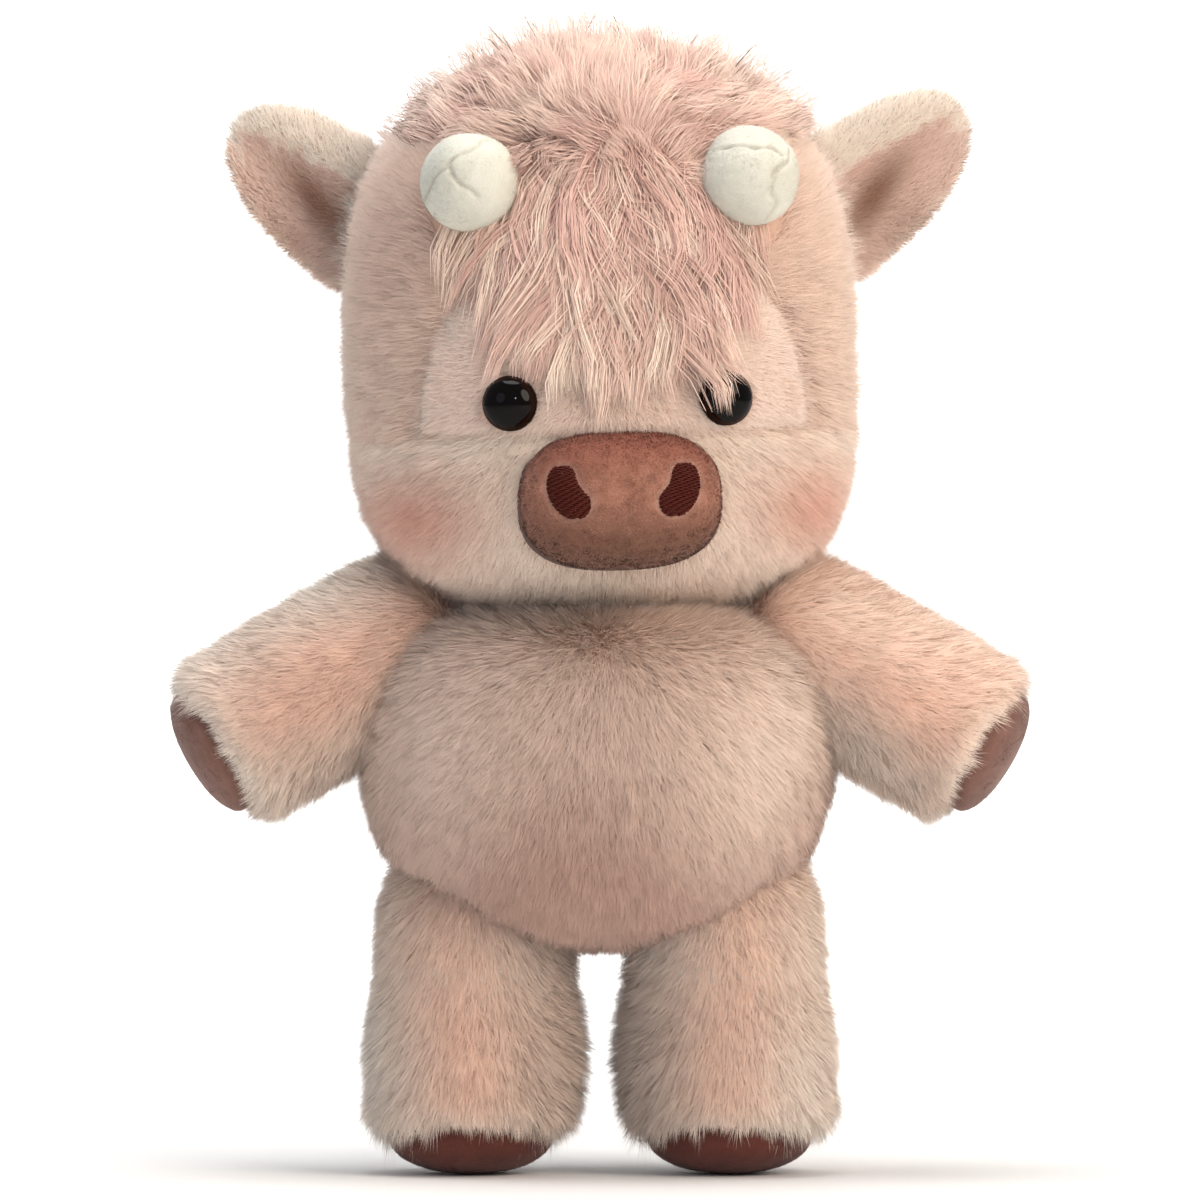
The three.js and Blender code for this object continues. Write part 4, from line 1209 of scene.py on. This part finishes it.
def stitch(bm, spots, thick):
    """One bowed thread through the spots, thin at both ends."""
    rings = []
    for at, (spot, out) in enumerate(spots):
        share = at / (len(spots) - 1)
        before, after = spots[max(at - 1, 0)][0], spots[min(at + 1, len(spots) - 1)][0]
        across = (after - before).normalized().cross(out)
        radius = thick * (0.6 + 0.4 * math.sin(math.pi * share))
        lifted = spot + out * (0.15 + 0.35 * math.sin(math.pi * share))
        rings.append([bm.verts.new(lifted + (across * math.cos(a) + out * math.sin(a)) * radius)
                      for a in np.linspace(0, 2 * math.pi, 6, endpoint=False)])
    for ring, following in zip(rings, rings[1:]):
        for at in range(6):
            bm.faces.new((ring[at], ring[at - 1], following[at - 1], following[at]))
    bm.faces.new(rings[0])
    bm.faces.new(rings[-1][::-1])


# %% Nostrils
for side in (RIGHT, LEFT):
    outline = nostril_outline(side, 200)
    bm = bmesh.new()
    rows = np.arange(outline[:, 1].min() + 0.15, outline[:, 1].max() - 0.05, STITCH_GAP)
    for number, height in enumerate(rows):
        level = outline[np.abs(outline[:, 1] - height) < 0.4, 0]
        start, end = level.min(), level.max()
        joins = np.arange(start + (0.6 + number % 3) * STITCH_LENGTH / 3, end - 0.4, STITCH_LENGTH)
        for left, right in zip([start, *joins], [*joins, end]):
            slant = 0.16 * (-1) ** number
            spots = [on_snout(x, height + slant * t)
                     for t, x in zip(np.linspace(-1, 1, 7), np.linspace(left, right, 7))]
            stitch(bm, spots, STITCH_THICK)
    bmesh.ops.recalc_face_normals(bm, faces=bm.faces)
    stitches = finished(f"nostril_stitches_{HANDS[side]}", bm)
    stitches.data.materials.append(thread)
    dress(stitches, HEAD_PLACE, "head", "nostril_thread", f"nostril_{HANDS[side]}")

dress(snout, HEAD_PLACE, "head", "snout_velboa", "snout_patch")

# %% [markdown]
# ## Ears
# An ear is a leaf of two cloths sewn together and turned: cream fur behind and over its edges,
# and mauve velboa lining its hollow. It is stuffed lightly, cupped forward, and sewn to the side
# of the head along its root. A flattened ball makes the leaf, so its edge stays round and soft.

# %% The ear's leaf
EAR = dict(length=38, root=47, tip=27, cup=10, lift=17, sweep=6, rise=29, back=4, outset=1.4)
LEAF_HALF = 2.2  # half of the thickness of its stuffing
EAR_END = {RIGHT: 0.87, LEFT: 0.93}
EAR_UP = {RIGHT: 2.4, LEFT: 1.4}


def ear_place(side):
    third = EAR["root"] / 3
    low = side_of(HEAD, EAR["back"], EAR["rise"] - third)
    high = side_of(HEAD, EAR["back"], EAR["rise"] + third)
    lean = math.degrees(math.atan2(low - high, 2 * third))
    outset = side_of(HEAD, EAR["back"], EAR["rise"]) + EAR["outset"]
    return moved(side * outset, EAR["back"], EAR["rise"]) @ turned(-side * lean, "Y")


def ear_half(share, side):
    """Half the ear's width, at a share of its length from the root."""
    taper = EAR["root"] / 2 - 4.6 + (EAR["tip"] / 2 + 3.6 - EAR["root"] / 2) * share
    tip = np.sqrt(np.clip(1 - (np.clip(share - 0.25, 0, None) / (EAR_END[side] - 0.25)) ** 2.8, 0, 1))
    root = np.sqrt(np.clip(1 - (np.clip(-share, 0, None) / 0.3) ** 2, 0, 1))
    return taper * tip * root


def leaf_points(flat, side, half_thick):
    """Points of the leaf from a ball flattened in its own frame: x out, z across, y through."""
    out, through, across = flat.T
    share = -0.28 + (out + 1) / 2 * (EAR_END[side] + 0.28)
    half = ear_half(share, side)
    rim = np.sqrt(np.clip(1 - out**2, 1e-6, 1))
    slice_at = np.clip(across / rim, -1, 1)
    far = share * EAR["length"]
    cup = EAR["cup"] * smooth(0, 0.6, share) * np.where(slice_at > 0, 0.4, 1)
    curl = cup * slice_at**2 * (half / (EAR["root"] / 2)) + EAR["sweep"] * share**2 * (share > 0)
    thick = half_thick * (1 + 0.9 * smooth(0.1, 0.7, slice_at))
    return np.stack([side * far, 0.2 + through * thick - curl,
                     slice_at * half + EAR_UP[side] + far * math.tan(math.radians(EAR["lift"]))], 1)


def ear_spot(root, side):
    """Where a root lies on the leaf: its share of the length, and of the half width."""
    share = root[:, 0] * side / EAR["length"]
    middle = root[:, 0] * side * math.tan(math.radians(EAR["lift"])) + EAR_UP[side]
    across = (root[:, 2] - middle) / np.maximum(ear_half(share, side), 1)
    return share, across


# %% The ear's lining
def in_lining(root, up, side, room=0.0):
    """How deep a front root lies in the lining, from 0 at its ragged edge to 1, and -1 outside."""
    share, across = ear_spot(root, side)
    ragged = 0.08 * slow_wave(root, 4, 63) - room
    edge = np.minimum.reduce([share + 0.1, 0.86 - share, across + 0.92, 0.42 - 0.1 * share - across])
    return np.where((up[:, 1] < -0.15) & (edge + ragged > 0), np.clip(edge * 3, 0, 1), -1)


def hollow_share(root, side):
    """1 in the deepest part of the ear's hollow, near the head."""
    share, across = ear_spot(root, side)
    return np.exp(-(((share - 0.16) / 0.3) ** 2) - (((across + 0.22 - 0.5 * share) / 0.3) ** 2))


def toward_tip(side):
    """Brushes an ear's fur from its root to its tip, and off its rim to the front and the back."""
    return lambda root: np.stack(
        [side * 1.0 + 0 * root[:, 0], 0.5 * np.sign(root[:, 1]), 0.05 * root[:, 2]], 1
    )


# %% Ears
# Mauve velboa, in shade towards the head, where the hollow is deepest
lining_pile = pile_material("velboa_mauve_fibre", "#D8B5A5", "#F6DBCD", "#7D5645", "#A67C68", **SOFT)
for side in (RIGHT, LEFT):
    hand = HANDS[side]
    place = HEAD_PLACE @ ear_place(side)
    body = f"ear_{hand}"
    ear = ball(f"ear_leaf_{hand}", 96, 64)
    round_ball = points_of(ear.data)
    set_points(ear.data, leaf_points(round_ball, side, LEAF_HALF))
    if side < 0:
        ear.data.flip_normals()
    ear.data.materials.append(backing)
    fur(f"ear_{hand}", ear, ear_pile, place, body, "cream_plush", 5.0, toward_tip(side), lean=54,
        over=8, under=6,
        keep=lambda root, up, side=side: (in_lining(root, up, side, 0.06) < 0) & (root[:, 0] * side > -6),
        tone=lambda root, side=side: 0.9 * smooth(-0.2, -0.8, ear_spot(root, side)[1]), seed=60 + side)
    nap = pile(f"ear_lining_nap_{hand}", ear, lining_pile, 15, 4.4, 52, toward_tip(side), width=0.21,
               gather=0, keep=lambda root, up, side=side: in_lining(root, up, side) >= 0, seed=64 + side,
               tone=lambda root, side=side: hollow_share(root, side))
    dress(nap, place, body, "ear_velboa")
    dress(ear, place, body, "cream_plush", f"ear_outer_{hand}", f"ear_lining_{hand}")

# %% [markdown]
# ## Arms and legs
# Each limb is a sleeve of plush, closed by a round velboa pad. Its root runs on into the body,
# so that no gap opens in the armpit when it turns. The pile is brushed down the sleeve, and its
# last fibres fall over the rim of the pad like a fringe.

# %% Sizes of the limbs
ARM = dict(radius=23.4, half=23.4, length=45.3, swell=0.7, end=22.6 / 23.4, fillet=7, root=29,
           pad=17.6, dome=6.8, power=2.0, shoulder=3.6, top=1.0)
LEG = dict(radius=27.5, half=29, length=43.5, swell=0.9, end=0.95, fillet=9, root=36,
           pad=22, dome=11, power=2.2, shoulder=2.7, top=0.93)
SHOULDER = (63, -3, 133)
ARM_FALL = 30.5  # degrees that the arms hang below level
ARM_AHEAD = 8  # degrees that they reach forward
HIP = (33.8, 0, 54)


def arm_place(side):
    x, y, z = SHOULDER
    fall, ahead = turned(-side * (90 - ARM_FALL), "Y"), turned(-ARM_AHEAD, "X")
    return moved(side * x, y + HIP_LINE, z) @ fall @ ahead


def leg_place(side):
    x, y, z = HIP
    return moved(side * x, y + HIP_LINE, z)


print("arm and leg are", ARM["length"], "and", LEG["length"], "mm long from joint to pad")


# %% A sleeve
def sleeve_section(limb, depth):
    """Radius and height down a sleeve, whose axis points to -Z, from its root to its end."""
    power = limb["shoulder"]
    root = [(limb["radius"] * limb["top"] * (1 - share**power) ** (1 / power), share * limb["root"])
            for share in np.cos(np.linspace(0, np.pi / 2, 20))]
    straight = limb["length"] - limb["fillet"]
    shaft = []
    for part in np.linspace(0, straight / limb["length"], 16)[1:]:
        radius = limb["radius"] * (1 + (limb["end"] - 1) * part**2)
        radius += limb["swell"] * math.sin(math.pi * part)
        narrow = limb["top"] + (1 - limb["top"]) * smooth(0, 0.6, part)
        shaft.append((radius * narrow, -part * limb["length"]))
    last = shaft[-1][0]
    bend = [(last - limb["fillet"] * (1 - math.cos(a)), -straight - limb["fillet"] * math.sin(a))
            for a in np.linspace(0, math.pi / 2, 6)[1:]]
    outer = np.array([*root, *shaft, *bend, (limb["pad"] - 5, -limb["length"])])
    end = smooth(-straight + 8, -limb["length"], outer[:, 1])
    thin = np.stack([np.maximum(outer[:, 0] - depth * (1 - 0.45 * end), 0), outer[:, 1] + 2.6 * end], 1)
    return [(0, thin[0, 1]), *map(tuple, thin), (0, thin[-1, 1])]


def down_sleeve(limb, droop):
    """Brushes a limb's pile down its sleeve, and inward past its end."""
    def flow(root):
        past_end = smooth(-limb["length"] + 4, -limb["length"], root[:, 2])[:, None]
        radial = unit(root * [1, 1, 0])
        return np.array([0, 0, -1.0]) + np.array(droop) + radial * 0.15 - radial * 0.4 * past_end
    return flow


# %% A limb
def build_limb(kind, side, limb, place, body, flow, end_length, seed, depth=PILE_DEPTH):
    """A sleeve with its fur. end_length is the fringe's, and depth how deep the pile is rooted."""
    hand = HANDS[side]
    skin = spun(f"{kind}_cloth_{hand}", even(sleeve_section(limb, depth), 1.6))
    set_points(skin.data, points_of(skin.data) * [limb["half"] / limb["radius"], 1, 1])
    skin.data.materials.append(backing)

    def near_end(root, first, last):
        return smooth(first - limb["length"], last - limb["length"], root[:, 2])

    def inner(root):
        """1 on the side that faces the other leg."""
        facing = smooth(0.2, 0.9, -side * root[:, 0] / limb["half"])
        return facing * (kind == "leg") * (1 - near_end(root, 24, 4))

    def on_top(root):
        """1 on the upper side of an arm."""
        return smooth(0.2, 0.8, side * root[:, 0] / limb["radius"]) * (kind == "arm")

    def length(root):
        """A leg's fringe is ragged over the front of the pad, and hangs lower at both sides."""
        stray = smooth(0.3, 1.0, slow_wave(root, 3.5, seed))
        at_side = smooth(5, 22, np.abs(root[:, 0]))
        fringe = end_length + (3 * stray if kind == "arm" else 4.5 * stray + 5.2 * at_side - 3)
        return 8.4 + 2 * inner(root) + (fringe + 4 * on_top(root) - 8.4) * near_end(root, 13, 3)

    def lean(root):
        return 54 - 20 * inner(root) - (12 - 30 * on_top(root)) * near_end(root, 12, 4)

    def tone(root):
        x, y, z = root.T
        middle = np.exp(-((x / 14) ** 2)) * (y < 0) * smooth(-limb["length"], -limb["length"] + 16, z)
        warm_top = 0.35 * on_top(root) * (side == LEFT)
        return 0.15 + 0.2 * slow_wave(root, 40, seed) + 0.75 * middle + warm_top

    def shade(root):
        """Legs are in shade between them."""
        return 0.35 * smooth(0, 1, -side * root[:, 0] / limb["half"]) * (kind == "leg")

    covered = limb["root"] * (0.98 if kind == "arm" else 0.8)
    fur(f"{kind}_{hand}", skin, limb_pile, place, body, "cream_plush", length, flow, lean=lean, tone=tone,
        seed=seed, blush=shade, keep=lambda root, up: (up[:, 2] > -0.85) & (root[:, 2] < covered))
    dress(skin, place, body, "cream_plush", f"{kind}_skin_{hand}")


# %% A pad
def build_pad(name, limb, place, body, slot, node_name, cloth, fibre, seed):
    reach = limb["pad"] - 0.4
    dome = [(r, -h) for r, h in arc(reach, limb["dome"] - 0.6, limb["length"], 20, limb["power"])]
    rim = -limb["length"]
    section = [(0, rim + 3.4), (reach - 0.6, rim + 3.2), (reach, rim + 2), *dome]
    pad = spun(name, even(section, 0.8), 96)
    pad.data.materials.append(cloth)
    fuzz(name + "_nap", pad, fibre, place, body, slot, length=0.9, per_mm2=8, seed=seed,
         keep=lambda root, up: (root[:, 2] < rim + 1) & (root[:, 2] > rim - limb["dome"] + 1.2))
    dress(pad, place, body, slot, node_name)


# %% Arms and legs
# The fibres of the pads, as dull as their cloth, a little lighter at their tips
hand_fibre = nap_pile("velboa_brown_hand_fibre", "#664438", "#8A665A")
foot_fibre = nap_pile("velboa_russet_sole_fibre", "#47211A", "#6E3A30")
for side in (RIGHT, LEFT):
    hand = HANDS[side]
    build_limb("arm", side, ARM, arm_place(side), f"arm_{hand}", down_sleeve(ARM, (side * 0.1, 0, 0)),
               4.4, 70 + side, 3.0)
    build_pad(f"hand_cloth_{hand}", ARM, arm_place(side), f"arm_{hand}", "hand_velboa", f"hand_pad_{hand}",
              hand_nap, hand_fibre, 74 + side)
    build_limb("leg", side, LEG, leg_place(side), f"leg_{hand}", down_sleeve(LEG, (0, 0, 0)),
               7.5, 80 + side)
    build_pad(f"sole_cloth_{hand}", LEG, leg_place(side), f"leg_{hand}", "foot_velboa", f"foot_pad_{hand}",
              foot_nap, foot_fibre, 84 + side)

# %% [markdown]
# ## Inside the cloth
# The stuffing, the pellet bags and the lock washers keep their solids, which the skins hide.
# They still get what they are made of: crimped polyester fibre, plain-woven cotton, and moulded
# polypropylene, in case a seam is opened.

# %% Inside materials
def inner_material(name, dark, light, size, **values):
    """size is the width in millimetres of a lock of fibre, a thread or a moulding mark."""
    made, tree, shader = surface(name, **values)
    place = node(tree, "TexCoord").outputs["Object"]
    pattern = node(tree, "TexNoise",
                   {"Vector": place, "Scale": 1 / (size * MM), "Detail": 4, "Distortion": 1.5})
    colour = node(tree, "Mix", {0: pattern.outputs[0], 6: linear(dark), 7: linear(light)}, data_type="RGBA")
    bump = node(tree, "Bump", {"Strength": 0.4, "Distance": 0.3 * MM, "Height": pattern.outputs[0]})
    tree.links.new(colour.outputs[2], shader.inputs["Base Color"])
    tree.links.new(bump.outputs[0], shader.inputs["Normal"])
    return made


# %% What the inside is made of
inner = {
    # Lofty white fibre, matt and without a grain
    "fill": inner_material("crimped_polyester_fibre", "#DDD9CF", "#F8F6F0", 2.0, Roughness=0.95, IOR=1.57),
    # Unbleached cotton, whose weave shows as a fine even grain
    "pellets": inner_material("plain_cotton_bag", "#CFC8B8", "#E6E0D2", 0.6, Roughness=0.9, IOR=1.53),
    # Milky plastic with a slight gloss
    "washer": inner_material("moulded_polypropylene", "#E9E9E4", "#F6F6F2", 0.4, Roughness=0.4, IOR=1.49),
}
for name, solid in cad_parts.items():
    if solid.hide_render:
        continue
    kind = next(kind for kind in inner if kind in name)
    for slot in solid.material_slots:
        slot.material = inner[kind]
    print(name, "is made of", inner[kind].name)

# %% [markdown]
# ## Floor, light and camera
# The picture was taken in soft, nearly shadowless light on white, from far off and level with
# the belly. A pale floor, a pale sky and two large soft lamps give that, and a small lamp near
# the camera puts the catch light in each eye. A long lens far away keeps the front view flat.

# %% Floor
# In metres: half its width, where it starts before the toy and bends up behind it, and its height
PAPER = dict(half=4.5, start=-4, bend=3.5, high=3)
bend = [(PAPER["bend"] + math.sin(a), 1 - math.cos(a)) for a in np.linspace(0, math.pi / 2, 24)]
sweep = [(PAPER["start"], 0), *bend, (PAPER["bend"] + 1, PAPER["high"])]
bm = bmesh.new()
rows = [[bm.verts.new((x, y, z)) for x in (-PAPER["half"], PAPER["half"])] for y, z in sweep]
for near, far in zip(rows, rows[1:]):
    bm.faces.new((near[0], near[1], far[1], far[0]))
floor = finished("paper_sweep", bm)
# Matt paper that shows no gloss, nearly white, so that the toy's pale fur still stands off it
paper, tree, shader = surface("matt_paper", Roughness=0.9)
grain = node(tree, "TexNoise", {"Vector": node(tree, "TexCoord").outputs["Object"], "Scale": 400.0})
whites = {0: grain.outputs[0], 6: linear("#EEEDEB"), 7: linear("#F2F1EF")}
tint = node(tree, "Mix", whites, data_type="RGBA")
tree.links.new(tint.outputs[2], shader.inputs["Base Color"])
floor.data.materials.append(paper)

# %% Sky
sky = bpy.data.worlds.new("pale_studio")
scene.world = sky
sky.use_nodes = True
sky.node_tree.nodes["Background"].inputs["Color"].default_value = linear("#F4F6FA")
sky.node_tree.nodes["Background"].inputs["Strength"].default_value = 0.4


# %% Lamps
def lamp(name, place, target, size, power, tint="#FFFFFF"):
    """A round soft lamp. Its place, target and size are in metres, and its power in watts."""
    data = bpy.data.lights.new(name, "AREA")
    data.shape, data.size, data.energy = "DISK", size, power
    data.color = linear(tint)[:3]
    made = bpy.data.objects.new(name, data)
    made.location = place
    made.rotation_mode = "QUATERNION"
    made.rotation_quaternion = (Vector(target) - Vector(place)).to_track_quat("-Z", "Y")
    scene.collection.objects.link(made)
    print(name, "at", place, power, "W")


lamp("key_softbox", (1.3, -1.3, 1.1), (0, 0, 0.16), 1.4, 29, "#FFEFDF")
lamp("top_softbox", (-0.1, -0.1, 1.7), (0, 0, 0.2), 1.2, 22)
lamp("left_softbox", (-1.3, -1.4, 0.7), (0, 0, 0.16), 0.9, 1.8, "#DCE6FF")
lamp("backdrop_lamp", (0, 1.5, 2.0), (0, 3.8, 0.3), 1.6, 150)
lamp("catch_light", (0.02, -1.6, 0.62), (0, 0, 0.2), 0.1, 1.2)

# %% Camera
PICTURE = 1200  # pixels across and down
PIXEL = 0.261  # millimetres of the toy that a pixel shows
UNDER_SOLES = 25  # pixels between the soles and the lower edge
FRAME_HEIGHT = PICTURE * PIXEL * MM
FAR = 2.4  # metres from the camera to the toy's middle
SENSOR = 36  # millimetres across
camera = bpy.data.objects.new("camera", bpy.data.cameras.new("camera"))
camera.location = (0, -FAR, FRAME_HEIGHT / 2 - UNDER_SOLES * PIXEL * MM)
camera.rotation_euler = (math.radians(90), 0, 0)
camera.data.sensor_width = SENSOR
camera.data.lens = SENSOR * FAR / FRAME_HEIGHT
scene.collection.objects.link(camera)
scene.camera = camera
scene.view_settings.view_transform = "Standard"
print("lens", round(camera.data.lens), "mm")
